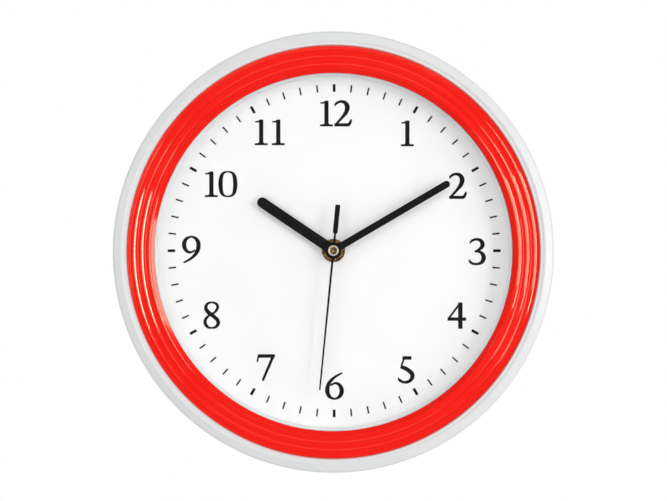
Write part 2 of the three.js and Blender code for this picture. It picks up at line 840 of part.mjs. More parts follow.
function makeThirdWheel() {
  const wheelPhase = wheelAngle(thirdBearing, thirdTeeth);
  const wheel = toothed(thirdTeeth, thirdModule, wheelPhase, false);
  const pinion = toothed(thirdLeaves, centreModule, pinionAngle(thirdBearing + 180), true);
  const solid = joined(
    slab(wheel, thirdBack, thirdBack + wheelThickness),
    slab(pinion, midPlateFront + shaftGap, centreBack + wheelThickness + shaftGap),
    bar(pivot, coverFront + shaftGap, chamberFront - shaftGap, 0, smallSides),
  );
  return gearAt(piece('third_wheel', solid, 'naturalPlastic'), thirdAt);
}

function makeCentreWheel() {
  const wheelPhase = wheelAngle(thirdBearing + 180, centreTeeth);
  const shape = toothed(centreTeeth, centreModule, wheelPhase, false);
  shape.holes.push(hole(0, 0, minutePipe + pressGap));
  return piece('centre_wheel', slab(shape, centreBack, centreBack + wheelThickness), 'naturalPlastic');
}

function makeMinutePipe() {
  const leaves = toothed(cannonLeaves, minuteModule, pinionAngle(minuteBearing), true);
  const solid = joined(
    bar(minutePipe, centreBack, minuteHandBack + handThickness + stackGap),
    slab(leaves, cannonBack, cannonFront),
  );
  const bore = bar(minuteBore, centreBack - 1, lensFront, 0, smallSides);
  return piece('minute_pipe', cut(solid, bore), 'naturalPlastic');
}

function makeMinuteWheel() {
  const wheelPhase = wheelAngle(minuteBearing, minuteTeeth);
  const wheel = toothed(minuteTeeth, minuteModule, wheelPhase, false);
  const pinion = toothed(minuteLeaves, hourModule, pinionAngle(minuteBearing + 180), true);
  const solid = joined(
    slab(wheel, minuteWheelBack, minuteWheelBack + wheelThickness),
    slab(pinion, minuteWheelBack + wheelThickness / 2, hourWheelBack + wheelThickness + shaftGap),
    bar(stemRadius, coverFront, minuteWheelBack + wheelThickness / 2, 0, smallSides),
    bar(pivot, minuteWheelBack, chamberFront - shaftGap, 0, smallSides),
  );
  return gearAt(piece('minute_wheel', solid, 'naturalPlastic'), minuteAt);
}

function makeHourWheel() {
  const wheelPhase = wheelAngle(minuteBearing + 180, hourTeeth);
  const wheel = toothed(hourTeeth, hourModule, wheelPhase, false);
  const solid = joined(
    slab(wheel, hourWheelBack, hourWheelBack + wheelThickness),
    bar(hourPipe, hourWheelBack, hourHandBack + handThickness + stackGap),
  );
  const bore = bar(hourBore, hourWheelBack - 1, lensFront);
  return piece('hour_wheel', cut(solid, bore), 'naturalPlastic');
}

function makeSetKnob() {
  const sides = 3 * knobGrooves;
  const outline = Array.from({ length: sides }, (_, k) => {
    const angle = (2 * Math.PI * k) / sides;
    const radius = knobRadius - knobGrooveDepth * (0.5 + 0.5 * Math.cos(knobGrooves * angle));
    return [radius * Math.cos(angle), radius * Math.sin(angle)];
  });
  const front = coverBack - shaftGap;
  const solid = joined(
    slab(polygon(outline), front - knobHeight, front),
    bar(stemRadius, front - knobHeight / 2, coverFront - shaftGap, 0, smallSides),
  );
  return gearAt(piece('set_knob', solid, 'orangePlastic'), minuteAt);
}

// ---------- motor and electronics ----------

const armInner = coilLength / 2 + flangeThickness + shaftGap;
const coreBack = statorBack + statorThickness;
const coilDepth = coreBack + coreThickness / 2;

function makeStator() {
  const [x, z] = rotorAt;
  const outer = armInner + statorArm;
  const bottom = z - statorReach;
  const barTop = z + statorReach;
  const top = coilAt[1] + coreWidth / 2 + statorOverhang;
  const shape = polygon([
    [x - outer, bottom],
    [x + statorArm, bottom],
    [x + outer, z],
    [x + outer, top],
    [x + armInner, top],
    [x + armInner, barTop],
    [x - armInner, barTop],
    [x - armInner, top],
    [x - outer, top],
  ]);
  shape.holes.push(hole(x, z, magnetRadius + statorGap));
  return piece('stator', slab(shape, statorBack, statorBack + statorThickness), 'steel');
}

function makeCoil() {
  const [x, z] = coilAt;
  const reach = armInner + statorArm;
  const core = rectangle(x - reach, z - coreWidth / 2, x + reach, z + coreWidth / 2);
  const tube = coreWidth / 2 + bobbinWall + pressGap;
  const half = coilLength / 2;
  // The bobbin and the winding are turned about their own axis, then laid along X.
  const lay = (geometry) => geometry.rotateZ(Math.PI / 2).translate(x, -coilDepth, z);
  const bobbin = joined(
    lay(bar(tube + bobbinWall, -half - flangeThickness, half + flangeThickness, tube - bobbinWall / 2)),
    lay(bar(flangeSize / 2, half, half + flangeThickness, tube - bobbinWall / 2)),
    lay(bar(flangeSize / 2, -half - flangeThickness, -half, tube - bobbinWall / 2)),
  );
  const winding = lay(bar(coilRadius, -half + pressGap, half - pressGap, tube + bobbinWall + pressGap));
  return [
    piece('coil_core', slab(core, coreBack, coreBack + coreThickness), 'steel'),
    piece('coil_bobbin', bobbin, 'naturalPlastic'),
    piece('coil_winding', winding, 'copper'),
  ];
}

function makeBoard() {
  const right = movementSide - housingWall - leadRoom;
  const top = movementTop - housingWall - fitGap;
  const back = coverFront + boardOffset;
  const front = back + boardThickness;
  const shape = rectangle(right - boardWidth, top - boardHeight, right, top);
  const chipX = right - boardWidth / 2;
  const chipZ = top - boardHeight / 2;
  const chipHalf = chipSize / 2;
  const chip = rectangle(chipX - chipHalf, chipZ - chipHalf, chipX + chipHalf, chipZ + chipHalf);
  const crystal = bar(crystalRadius, 0, crystalLength, 0, smallSides)
    .rotateX(Math.PI / 2)
    .translate(right - crystalRadius * 2, -front - crystalRadius, top - boardHeight + crystalLength * 1.5);
  return [
    piece('circuit_board', slab(shape, back, front), 'board'),
    piece('driver_chip', slab(chip, back - chipThickness, back), 'blackPlastic'),
    piece('quartz_crystal', crystal, 'steel'),
  ];
}

function makeCell() {
  const end = movementSide - housingWall - contactThickness - 2 * stackGap;
  const start = end - nubLength - cellLength;
  const loop = [[0, start], [0, end], [nubRadius, end], [nubRadius, end - nubLength],
    [cellRadius - 0.6, end - nubLength], [cellRadius, end - nubLength - 0.6],
    [cellRadius, start + 0.4], [cellRadius - 0.4, start]];
  const solid = turned(loop, roundSides).rotateZ(Math.PI / 2).translate(0, -cellDepth, cellZ);
  return piece('battery_cell', solid, 'cellSleeve');
}

// Sheet strips that stand against the end walls of the battery bay; the positive one runs up
// to the circuit board and the negative one bows out against the cell.
function makeContacts() {
  const wall = movementSide - housingWall - stackGap / 2;
  const bottom = movementBottom + housingWall + fitGap;
  const top = movementTop - housingWall - fitGap;
  const back = cellDepth - contactWidth / 2;
  const front = cellDepth + contactWidth / 2;
  const strip = rectangle(wall - contactThickness, bottom, wall, top);
  const bow = wall - springReach;
  const spring = polygon([
    [-wall, bottom],
    [-wall + contactThickness, bottom],
    [-bow + contactThickness, cellZ],
    [-wall + contactThickness, cellZ + cellRadius],
    [-wall + contactThickness, top],
    [-wall, top],
    [-wall, cellZ + cellRadius],
    [-bow, cellZ],
  ]);
  return [
    piece('contact_positive', slab(strip, back, front), 'steel'),
    piece('contact_negative', slab(spring, back, front), 'steel'),
  ];
}

// ---------- assembly ----------

const rimCentre = new THREE.Group();
rimCentre.position.z = -nailRise - axisRise;
rimCentre.add(
  makeCase(),
  makeBezel(),
  makeLens(),
  makeSpacerRing(),
  ...screwSpots().map((spot, index) => bezelScrew(index, spot)),
);

const handAxis = new THREE.Group();
handAxis.position.z = -nailRise;
handAxis.add(
  makeBackPan(),
  makeDial(),
  makeHousing(),
  makeCover(),
  makeMiddlePlate(),
  makeRubberWasher(),
  makeBushing(),
  makeBrassWasher(),
  makeNut(),
  makeStator(),
  ...makeCoil(),
  ...makeBoard(),
  ...makeContacts(),
  makeCell(),
  ...makeRotor(),
  makeIntermediateWheel(),
  makeSecondsWheel(),
  makeSecondsArbor(),
  makeThirdWheel(),
  makeCentreWheel(),
  makeMinutePipe(),
  makeMinuteWheel(),
  makeHourWheel(),
  makeSetKnob(),
  makeHourHand(),
  makeMinuteHand(),
  makeSecondHand(),
  makeEyelet(),
);

const clock = new THREE.Group();
clock.add(rimCentre, handAxis);

export default clock;
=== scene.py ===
import bpy
import json
import math
import numpy as np
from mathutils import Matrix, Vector


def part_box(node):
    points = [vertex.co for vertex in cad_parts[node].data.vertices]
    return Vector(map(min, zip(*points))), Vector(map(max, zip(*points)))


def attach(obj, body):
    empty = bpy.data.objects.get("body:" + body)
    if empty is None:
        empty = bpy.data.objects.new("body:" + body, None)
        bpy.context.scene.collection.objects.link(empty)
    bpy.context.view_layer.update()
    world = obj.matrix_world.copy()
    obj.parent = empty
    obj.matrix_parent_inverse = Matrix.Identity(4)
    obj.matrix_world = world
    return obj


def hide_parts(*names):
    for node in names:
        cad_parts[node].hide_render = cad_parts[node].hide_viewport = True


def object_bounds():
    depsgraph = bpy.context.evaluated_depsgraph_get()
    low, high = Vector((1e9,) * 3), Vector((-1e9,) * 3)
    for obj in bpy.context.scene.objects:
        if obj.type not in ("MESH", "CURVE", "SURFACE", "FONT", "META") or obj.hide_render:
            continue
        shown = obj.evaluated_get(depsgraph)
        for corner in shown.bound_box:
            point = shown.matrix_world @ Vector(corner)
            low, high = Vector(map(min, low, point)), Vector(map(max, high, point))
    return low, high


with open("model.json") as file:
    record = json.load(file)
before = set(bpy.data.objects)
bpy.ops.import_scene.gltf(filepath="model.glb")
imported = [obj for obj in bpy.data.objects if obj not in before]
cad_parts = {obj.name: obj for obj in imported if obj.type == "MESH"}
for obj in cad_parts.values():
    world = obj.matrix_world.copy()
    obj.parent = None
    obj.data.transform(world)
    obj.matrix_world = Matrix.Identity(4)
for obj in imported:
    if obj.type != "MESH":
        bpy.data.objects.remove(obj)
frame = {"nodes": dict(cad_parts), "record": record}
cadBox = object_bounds()
print("stage 1: frame loaded,", len(frame["nodes"]), "nodes")

mm = 0.001
bodies = frame["record"]["behaviour"]["bodies"]
bodyOf = {node: body for body, members in bodies.items() for node in members}


def middleOf(node):  # right and up of a node's middle
    low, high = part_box(node)
    return np.array([(low.x + high.x) / 2, (low.z + high.z) / 2]) / mm


def depthsOf(node):  # back and front of a node, in millimetres off the wall
    low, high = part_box(node)
    return -high.y / mm, -low.y / mm


rimCentre = middleOf("case")
axisCentre = middleOf("threaded_bushing")


# Shape tools. Arrays are in millimetres: x to the right, depth off the wall, z up.

roundingLimits = {"flatDegrees": 87, "sideShare": 0.46}  # half angle left sharp, most of a side in an arc


def rounded(corners, radii, steps=5):
    # closed loop of corners, each swapped for an arc that touches both of its sides
    corners = np.asarray(corners, float)
    radii = np.broadcast_to(np.asarray(radii, float), (len(corners),))
    loop = []
    for k, corner in enumerate(corners):
        before = corners[k - 1] - corner
        after = corners[(k + 1) % len(corners)] - corner
        lengthBefore, lengthAfter = np.linalg.norm(before), np.linalg.norm(after)
        before, after = before / lengthBefore, after / lengthAfter
        half = math.acos(np.clip(before @ after, -1, 1)) / 2
        if radii[k] <= 0 or half > math.radians(roundingLimits["flatDegrees"]):
            loop.append(corner[None])
            continue
        reach = min(radii[k] / math.tan(half), roundingLimits["sideShare"] * min(lengthBefore, lengthAfter))
        radius = reach * math.tan(half)
        centre = corner + (before + after) / np.linalg.norm(before + after) * radius / math.sin(half)
        start, end = corner + before * reach - centre, corner + after * reach - centre
        sweep = math.pi - 2 * half
        t = np.linspace(0, 1, steps)[:, None]
        loop.append(centre + (start * np.sin((1 - t) * sweep) + end * np.sin(t * sweep)) / math.sin(sweep))
    return np.concatenate(loop)


def ringLoop(inner, outer, back, front, edge, steps=4):
    # section of a ring: a rectangle from radius inner to outer, its corners rounded
    return rounded([(inner, back), (inner, front), (outer, front), (outer, back)], edge, steps)


def arcPoints(centre, across, along, start, end, count):
    # part of an ellipse: centre + (across·cos a, along·sin a)
    angle = np.radians(np.linspace(start, end, count))
    return np.stack((centre[0] + across * np.cos(angle), centre[1] + along * np.sin(angle)), -1)


def profileNormals(profile, closed):
    # a point's normal is the mean of its two sides' normals, each weighed by its length
    step = np.roll(profile, -1, 0) - profile
    if not closed:
        step[-1] = 0
    side = np.stack((step[:, 1], -step[:, 0]), -1)
    total = side + np.roll(side, 1, 0)
    return total / np.maximum(np.linalg.norm(total, axis=1, keepdims=True), 1e-9)


def gridFaces(rows, columns, closeRows, closeColumns):
    # a face joins four neighbours on the grid; a closed side runs on to its own start
    ids = np.arange(rows * columns).reshape(rows, columns)
    if closeRows:
        ids = np.concatenate((ids, ids[:1]), 0)
    if closeColumns:
        ids = np.concatenate((ids, ids[:, :1]), 1)
    return np.stack((ids[:-1, :-1], ids[1:, :-1], ids[1:, 1:], ids[:-1, 1:]), -1).reshape(-1, 4)


def turned(profile, centre=(0, 0), segments=256, closed=True):
    # profile (r, d) swept about an axis square to the wall: x = cx + r·sin u, z = cz + r·cos u
    profile = np.asarray(profile, float)
    u = np.arange(segments) * 2 * math.pi / segments
    r, d = profile[:, :1], profile[:, 1:]
    middle = np.broadcast_to(np.asarray(centre, float), (len(profile), 2))
    x = middle[:, :1] + r * np.sin(u)
    z = middle[:, 1:] + r * np.cos(u)
    points = np.stack((x, np.broadcast_to(d, x.shape), z), -1).reshape(-1, 3)
    slope = profileNormals(profile, closed)
    nr, nd = slope[:, :1], slope[:, 1:]
    normals = np.stack((nr * np.sin(u), np.broadcast_to(nd, x.shape), nr * np.cos(u)), -1)
    faces = gridFaces(len(profile), segments, closed, True)
    pole = np.repeat(profile[:, 0] < 1e-6, segments)
    first = np.arange(len(points)) - np.arange(len(points)) % segments
    faces = np.where(pole[faces], first[faces], faces)
    return points, faces, normals.reshape(-1, 3)


def carried(path, across, widths, section, thickness, back):
    # section (s, h) carried along a flat path: point = path + across·s·width, depth = back + h·thickness
    path, across = np.asarray(path, float), np.asarray(across, float)
    section = np.asarray(section, float)
    widths = np.asarray(widths, float)[:, None]
    rows, columns = len(path), len(section)
    x = path[:, :1] + across[:, :1] * section[:, 0] * widths
    z = path[:, 1:] + across[:, 1:] * section[:, 0] * widths
    depth = np.broadcast_to(back + section[:, 1] * thickness, x.shape)
    points = np.stack((x, depth, z), -1).reshape(-1, 3)
    faces = gridFaces(rows, columns, False, True)
    ends = np.stack((path[[0, -1], 0], np.full(2, back + thickness / 2), path[[0, -1], 1]), -1)
    columnIds = np.arange(columns)
    following = (columnIds + 1) % columns
    low = np.stack((np.full(columns, rows * columns), columnIds, following, following), -1)
    last = (rows - 1) * columns
    high = np.stack((np.full(columns, rows * columns + 1), last + following, last + columnIds,
                     last + columnIds), -1)
    return np.concatenate((points, ends)), np.concatenate((faces, low, high)), None


def joinGrids(*grids):
    # several grids as one, each one's faces numbered on from the last
    offsets = np.cumsum([0] + [len(grid[0]) for grid in grids[:-1]])
    points = np.concatenate([grid[0] for grid in grids])
    faces = np.concatenate([grid[1] + offset for grid, offset in zip(grids, offsets)])
    normals = None
    if all(grid[2] is not None for grid in grids):
        normals = np.concatenate([grid[2] for grid in grids])
    return points, faces, normals


def turnBy(grid, degrees, centre):
    # clockwise about the hand axis as seen from the front
    points, faces, normals = grid
    a = math.radians(degrees)
    x, z = points[:, 0], points[:, 2]
    spun = np.stack((centre[0] + x * math.cos(a) + z * math.sin(a), points[:, 1],
                     centre[1] - x * math.sin(a) + z * math.cos(a)), -1)
    return spun, faces, normals


def placed(name, data):  # a new object with this data, put into the scene
    thing = bpy.data.objects.new(name, data)
    bpy.context.scene.collection.objects.link(thing)
    return thing


def addPiece(name, grid, material, body, replaces=(), sharp=40):
    # a grid made an object: faces turned outwards, doubled corners at the poles dropped
    points, faces, normals = grid
    place = np.stack((points[:, 0], -points[:, 1], points[:, 2]), -1) * mm
    corners = place[faces]
    crossed = np.cross(corners[:, 1] - corners[:, 0], corners[:, 2] - corners[:, 0])
    crossed += np.cross(corners[:, 2] - corners[:, 0], corners[:, 3] - corners[:, 0])
    middle = place.mean(0)
    if ((corners.mean(1) - middle) * crossed).sum() < 0:  # signed volume below nought: inside out
        faces = faces[:, ::-1]
        crossed = -crossed
    rows = [list(dict.fromkeys(row)) for row in faces.tolist()]
    keep = [k for k, row in enumerate(rows) if len(row) > 2]
    mesh = bpy.data.meshes.new(name)
    used, back = np.unique(np.concatenate([rows[k] for k in keep]), return_inverse=True)
    counts = np.cumsum([0] + [len(rows[k]) for k in keep])
    tight = [back[a:b].tolist() for a, b in zip(counts[:-1], counts[1:])]
    mesh.from_pydata(place[used].tolist(), [], tight)
    mesh.polygons.foreach_set("use_smooth", [True] * len(tight))
    if normals is None:
        mesh.set_sharp_from_angle(angle=math.radians(sharp))
    else:
        outward = np.stack((normals[:, 0], -normals[:, 1], normals[:, 2]), -1)
        if (outward[faces[:, 0]] * crossed).sum() < 0:
            outward = -outward
        mesh.normals_split_custom_set_from_vertices(outward[used].tolist())
    mesh.update()
    piece = placed(name, mesh)
    piece.data.materials.append(material)
    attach(piece, body)
    if replaces:
        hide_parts(*replaces)


# Materials.

def hexToLinear(code):  # sRGB hex to linear red, green, blue and alpha
    channels = [int(code[k:k + 2], 16) / 255 for k in (1, 3, 5)]
    linear = [c / 12.92 if c <= 0.04045 else ((c + 0.055) / 1.055) ** 2.4 for c in channels]
    return (*linear, 1)


def addNode(tree, kind, inputs=None, **settings):
    # a shader node with its settings; an input is linked where a socket is given, and set otherwise
    node = tree.nodes.new("ShaderNode" + kind)
    for key, value in settings.items():
        setattr(node, key, value)
    for key, value in (inputs or {}).items():
        if isinstance(value, bpy.types.NodeSocket):
            tree.links.new(value, node.inputs[key])
        else:
            node.inputs[key].default_value = value
    return node


def startMaterial(name):
    # an empty material, its tree, and the object's coordinates for the patterns
    material = bpy.data.materials.new(name)
    material.use_nodes = True
    tree = material.node_tree
    tree.nodes.clear()
    place = addNode(tree, "TexCoord").outputs["Object"]
    return material, tree, place


def grainScale(sizeInMm):  # noise features of this size, for coordinates in metres
    return 1 / (sizeInMm * mm)


def mottled(tree, place, sizeInMm, dark, light, spread=0.35, detail=4):
    # colour that drifts between two shades over patches of the given size
    noise = addNode(tree, "TexNoise", {"Vector": place, "Scale": grainScale(sizeInMm), "Detail": detail})
    band = addNode(tree, "MapRange", {"Value": noise.outputs["Fac"],
                                      "From Min": 0.5 - spread, "From Max": 0.5 + spread})
    mix = addNode(tree, "Mix", {"Factor": band.outputs[0], 6: hexToLinear(dark),
                                7: hexToLinear(light)}, data_type="RGBA")
    return mix.outputs[2]


noiseBand = (0.3, 0.7)  # nearly all of the noise lies between these


def patchy(tree, place, sizeInMm, low, high, detail=3):
    # a number that drifts between low and high over patches of the given size
    noise = addNode(tree, "TexNoise", {"Vector": place, "Scale": grainScale(sizeInMm), "Detail": detail})
    return addNode(tree, "MapRange", {
        "Value": noise.outputs["Fac"], "From Min": noiseBand[0], "From Max": noiseBand[1], "To Min": low,
        "To Max": high}).outputs[0]


def grained(tree, place, sizeInMm, heightInMm, detail=2):
    # surface grain of a real size and height
    noise = addNode(tree, "TexNoise", {"Vector": place, "Scale": grainScale(sizeInMm), "Detail": detail})
    return addNode(tree, "Bump", {"Height": noise.outputs["Fac"], "Distance": heightInMm * mm}).outputs[0]


def finishMaterial(tree, place, look, sockets):
    # the look's own roughness, grain and shader values, with the given sockets on top
    made = {socket: maker(tree, place, *look[key]) for key, socket, maker in (
        ("rough", "Roughness", patchy), ("grain", "Normal", grained)) if key in look}
    shader = addNode(tree, "BsdfPrincipled", {**made, **look.get("shader", {}), **sockets})
    addNode(tree, "OutputMaterial", {"Surface": shader.outputs[0]})


def waveScale(spacingInMm):  # wave texture with bands this far apart: it runs through 20 radians a unit
    return 2 * math.pi / 20 * grainScale(spacingInMm)


# Plain finishes. Colour is a patch size in mm and two shades, rough a patch size in mm and the lowest and
# highest roughness, grain a size and a height in mm, and shader holds the shader's own values.
plainFinishes = {
    # high gloss ABS from a polished mould: soft broad reflections that ripple a little
    "mouldedWhiteAbs": {
        "colour": (40, "#dfe0e1", "#e5e6e6"), "rough": (18, 0.28, 0.36), "grain": (3.5, 0.006),
        "shader": {"IOR": 1.53, "Specular IOR Level": 0.55}},
    # the same ABS from a spark-eroded mould half: an even fine grain and no mirror reflections
    "sparkedWhiteAbs": {
        "colour": (30, "#e7e6e2", "#efeeeb"), "rough": (9, 0.48, 0.6), "grain": (0.6, 0.012),
        "shader": {"IOR": 1.53}},
    # red ABS, solid colour, from a polished mould: sharp, slightly warm highlights
    "mouldedRedAbs": {
        "colour": (34, "#fc130d", "#ff2016"), "rough": (14, 0.05, 0.08), "grain": (4.5, 0.002),
        "shader": {"IOR": 1.54, "Specular IOR Level": 1.0, "Specular Tint": hexToLinear("#fff1d0")}},
    # coated white card: matt, with the faint tooth of its coating
    "printedCard": {
        "colour": (25, "#f9f9f9", "#fdfdfd"), "rough": (6, 0.6, 0.7), "grain": (0.35, 0.004),
        "shader": {"IOR": 1.45, "Specular IOR Level": 0.3}},
    # black screen-printing ink: a thin matt film, a shade uneven in its cover
    "screenInk": {
        "colour": (0.8, "#080808", "#101011"), "rough": (0.7, 0.55, 0.7), "grain": (0.5, 0.003),
        "shader": {"IOR": 1.45, "Specular IOR Level": 0.12}},
    # sprayed matt black lacquer on stamped steel: fine dry spray grain
    "mattBlackLacquer": {
        "colour": (1.5, "#040404", "#0a0a0a"), "rough": (2, 0.5, 0.62), "grain": (0.4, 0.006),
        "shader": {"IOR": 1.45, "Specular IOR Level": 0.12}},
    # nickel plate over brass, satin from the barrel polisher, a touch warm
    "satinNickel": {
        "colour": (0.9, "#e6ddd0", "#f4ece0"), "rough": (0.5, 0.4, 0.52), "grain": (0.15, 0.002),
        "shader": {"Metallic": 1.0}},
    # black ABS with a spark-eroded skin: dark satin that catches a soft grey sheen on its edges
    "blackMovementAbs": {
        "colour": (6, "#1a1a1b", "#232324"), "rough": (3, 0.42, 0.56), "grain": (0.35, 0.012),
        "shader": {"IOR": 1.53}},
    # unpigmented acetal as gears are moulded in: milky white, waxy, slightly see-through
    "naturalAcetal": {
        "colour": (4, "#e6e3d8", "#f1eee4"), "rough": (2, 0.3, 0.42), "grain": (0.6, 0.004),
        "shader": {"IOR": 1.48, "Subsurface Weight": 0.15, "Subsurface Radius": (0.0012, 0.0011, 0.001)}},
    # grey ABS knob, worn smooth on its ribs
    "greyKnobAbs": {
        "colour": (2.5, "#55565a", "#66676b"), "rough": (1.5, 0.35, 0.5), "grain": (0.3, 0.008),
        "shader": {"IOR": 1.53}},
    # bonded ferrite magnet: dull grey-black with a gritty skin
    "darkFerrite": {
        "colour": (0.5, "#2a2a2c", "#414144"), "rough": (0.8, 0.5, 0.7), "grain": (0.2, 0.01),
        "shader": {"IOR": 1.6}},
    # black rubber sheet, die-cut: dead matt with a light bloom
    "nitrileRubber": {
        "colour": (2, "#161616", "#242423"), "rough": (2, 0.7, 0.85), "grain": (0.4, 0.015),
        "shader": {"IOR": 1.5}},
    # smooth studio paper under the clock: nearly white, matt
    "paleFloorPaint": {"colour": (300, "#f1f1f0", "#f7f7f6"), "shader": {"Roughness": 0.9, "IOR": 1.4}},
}


def plainFinish(name):  # the material that a row of plainFinishes gives
    look = plainFinishes[name]
    material, tree, place = startMaterial(name)
    finishMaterial(tree, place, look, {"Base Color": mottled(tree, place, *look["colour"])})
    return material


acrylicLook = {"tint": "#fefefe", "shadowTint": "#fafafa", "ior": 1.49, "rough": (25, 0.0, 0.02)}


def polishedAcrylic():
    # clear cast acrylic, polished both sides; light passes straight through it to the dial
    look = acrylicLook
    material, tree, place = startMaterial("polishedAcrylic")
    shader = addNode(tree, "BsdfPrincipled", {
        "Base Color": hexToLinear(look["tint"]), "Transmission Weight": 1.0, "IOR": look["ior"],
        "Roughness": patchy(tree, place, *look["rough"])})
    clear = addNode(tree, "BsdfTransparent", {"Color": hexToLinear(look["shadowTint"])})
    rays = addNode(tree, "LightPath")
    mix = addNode(tree, "MixShader", {0: rays.outputs["Is Shadow Ray"], 1: shader.outputs[0],
                                      2: clear.outputs[0]})
    addNode(tree, "OutputMaterial", {"Surface": mix.outputs[0]})
    return material


# Real tool marks are about a tenth of a millimetre apart, too fine to show, so they are drawn coarser.
# colour: gold flecked at random with near-black, the near-black being painted shade and dark reflection
brassLook = {"colour": (0.75, "#1d160f", "#e2b468"), "spread": 0.08, "detail": 6, "rough": (0.6, 0.2, 0.45),
             "markMm": 1.2, "markHeightMm": 0.008, "markWander": 0.6, "markDetail": 2, "markStrength": 0.5}


def turnedBrass():
    # turned brass: rings left by the tool; its colour flecks at random between gold and near-black painted
    # shade and dark reflection
    look = brassLook
    material, tree, place = startMaterial("turnedBrass")
    centre = addNode(tree, "Mapping", {"Vector": place, "Location": (
        -axisCentre[0] * mm, 0, -axisCentre[1] * mm)})
    rings = addNode(tree, "TexWave", {
        "Vector": centre.outputs[0], "Scale": waveScale(look["markMm"]), "Distortion": look["markWander"],
        "Detail": look["markDetail"]}, wave_type="RINGS", rings_direction="Y")
    bump = addNode(tree, "Bump", {"Height": rings.outputs["Fac"], "Strength": look["markStrength"],
                                  "Distance": look["markHeightMm"] * mm})
    finishMaterial(tree, place, look, {
        "Base Color": mottled(tree, place, *look["colour"], look["spread"], look["detail"]),
        "Metallic": 1.0, "Normal": bump.outputs[0]})
    return material


steelLook = {"spangleMm": 0.8, "dark": "#a9adb1", "light": "#d3d6d8", "rough": (1.2, 0.24, 0.42),
             "grain": (0.3, 0.004)}


def zincedSteel():
    # bright zinc plate on steel: a cool mottled spangle with small dull patches
    look = steelLook
    material, tree, place = startMaterial("zincedSteel")
    cells = addNode(tree, "TexVoronoi", {"Vector": place, "Scale": grainScale(look["spangleMm"])})
    tone = addNode(tree, "Mix", {"Factor": cells.outputs["Distance"], 6: hexToLinear(look["dark"]),
                                 7: hexToLinear(look["light"])}, data_type="RGBA")
    finishMaterial(tree, place, look, {"Base Color": tone.outputs[2], "Metallic": 1.0})
    return material


# The real wire is under a tenth of a millimetre thick, too fine to show, so its turns are drawn coarser.
copperLook = {"wireMm": 1.25, "wander": 0.4, "heightMm": 0.06, "dark": "#8a3b14", "light": "#d9783a",
              "metal": 0.85, "rough": (2, 0.25, 0.4)}


def enamelledCopper():
    # enamelled wire wound side by side: each turn a bright copper line along the coil
    look = copperLook
    material, tree, place = startMaterial("enamelledCopper")
    turns = addNode(tree, "TexWave", {
        "Vector": place, "Scale": waveScale(look["wireMm"]), "Distortion": look["wander"]},
        wave_type="BANDS", bands_direction="X")
    tone = addNode(tree, "Mix", {"Factor": turns.outputs["Fac"], 6: hexToLinear(look["dark"]),
                                 7: hexToLinear(look["light"])}, data_type="RGBA")
    bump = addNode(tree, "Bump", {"Height": turns.outputs["Fac"], "Distance": look["heightMm"] * mm})
    finishMaterial(tree, place, look, {"Base Color": tone.outputs[2], "Metallic": look["metal"],
                                       "Normal": bump.outputs[0]})
    return material


solderMaskLook = {"weaveMm": 0.6, "dark": "#0f5a2c", "light": "#146b35", "rough": (2, 0.2, 0.32),
                  "grain": (0.6, 0.006), "shader": {"IOR": 1.55}}


def greenSolderMask():
    # green solder mask on glass board: glossy lacquer over a faint woven cloth
    look = solderMaskLook
    material, tree, place = startMaterial("greenSolderMask")
    weave = addNode(tree, "TexChecker", {"Vector": place, "Scale": grainScale(look["weaveMm"]),
                                         "Color1": hexToLinear(look["dark"]),
                                         "Color2": hexToLinear(look["light"])})
    finishMaterial(tree, place, look, {"Base Color": weave.outputs["Color"]})
    return material


sleeveLook = {"body": "#2f5f8f", "band": "#b8860f", "bandShare": 0.3, "rough": (4, 0.2, 0.34),
              "grain": (1.5, 0.008), "shader": {"IOR": 1.5}}


def printedSleeve():
    # shrink sleeve of a cell, lacquered film in two plain colours with a fine run of wrinkles
    look = sleeveLook
    low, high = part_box("battery_cell")
    material, tree, place = startMaterial("printedSleeve")
    axes = addNode(tree, "SeparateXYZ", {"Vector": place})
    along = addNode(tree, "MapRange", {"Value": axes.outputs["X"], "From Min": low.x, "From Max": high.x})
    band = addNode(tree, "Math", {0: along.outputs[0], 1: 1 - look["bandShare"]}, operation="GREATER_THAN")
    tone = addNode(tree, "Mix", {"Factor": band.outputs[0], 6: hexToLinear(look["body"]),
                                 7: hexToLinear(look["band"])}, data_type="RGBA")
    finishMaterial(tree, place, look, {"Base Color": tone.outputs[2]})
    return material


whiteAbs = plainFinish("mouldedWhiteAbs")
panAbs = plainFinish("sparkedWhiteAbs")
redAbs = plainFinish("mouldedRedAbs")
acrylic = polishedAcrylic()
card = plainFinish("printedCard")
ink = plainFinish("screenInk")
lacquer = plainFinish("mattBlackLacquer")
brass = turnedBrass()
nickel = plainFinish("satinNickel")
steel = zincedSteel()
blackAbs = plainFinish("blackMovementAbs")
acetal = plainFinish("naturalAcetal")
knobAbs = plainFinish("greyKnobAbs")
ferrite = plainFinish("darkFerrite")
copper = enamelledCopper()
rubber = plainFinish("nitrileRubber")
solderMask = greenSolderMask()
sleeve = printedSleeve()
print("stage 2: materials made")


# Case.

rimSizes = {"outer": 125, "crest": 119.9, "crestDepth": 40, "facet": 0.95, "facetTilt": 22, "riser": 118.6,
            "tilt": 19, "coneEnd": 124.3, "shoulder": 1.6, "sideTop": 34, "band": 26, "skirt": 118.5,
            "wall": 2.2, "step": 116.8, "stepEdge": 37.5, "stepIn": 117.25, "stepDepth": 39.2,
            "insideDrop": 4.2, "ledge": 114.6, "ledgeBack": 26.6, "ledgeFront": 28.8}


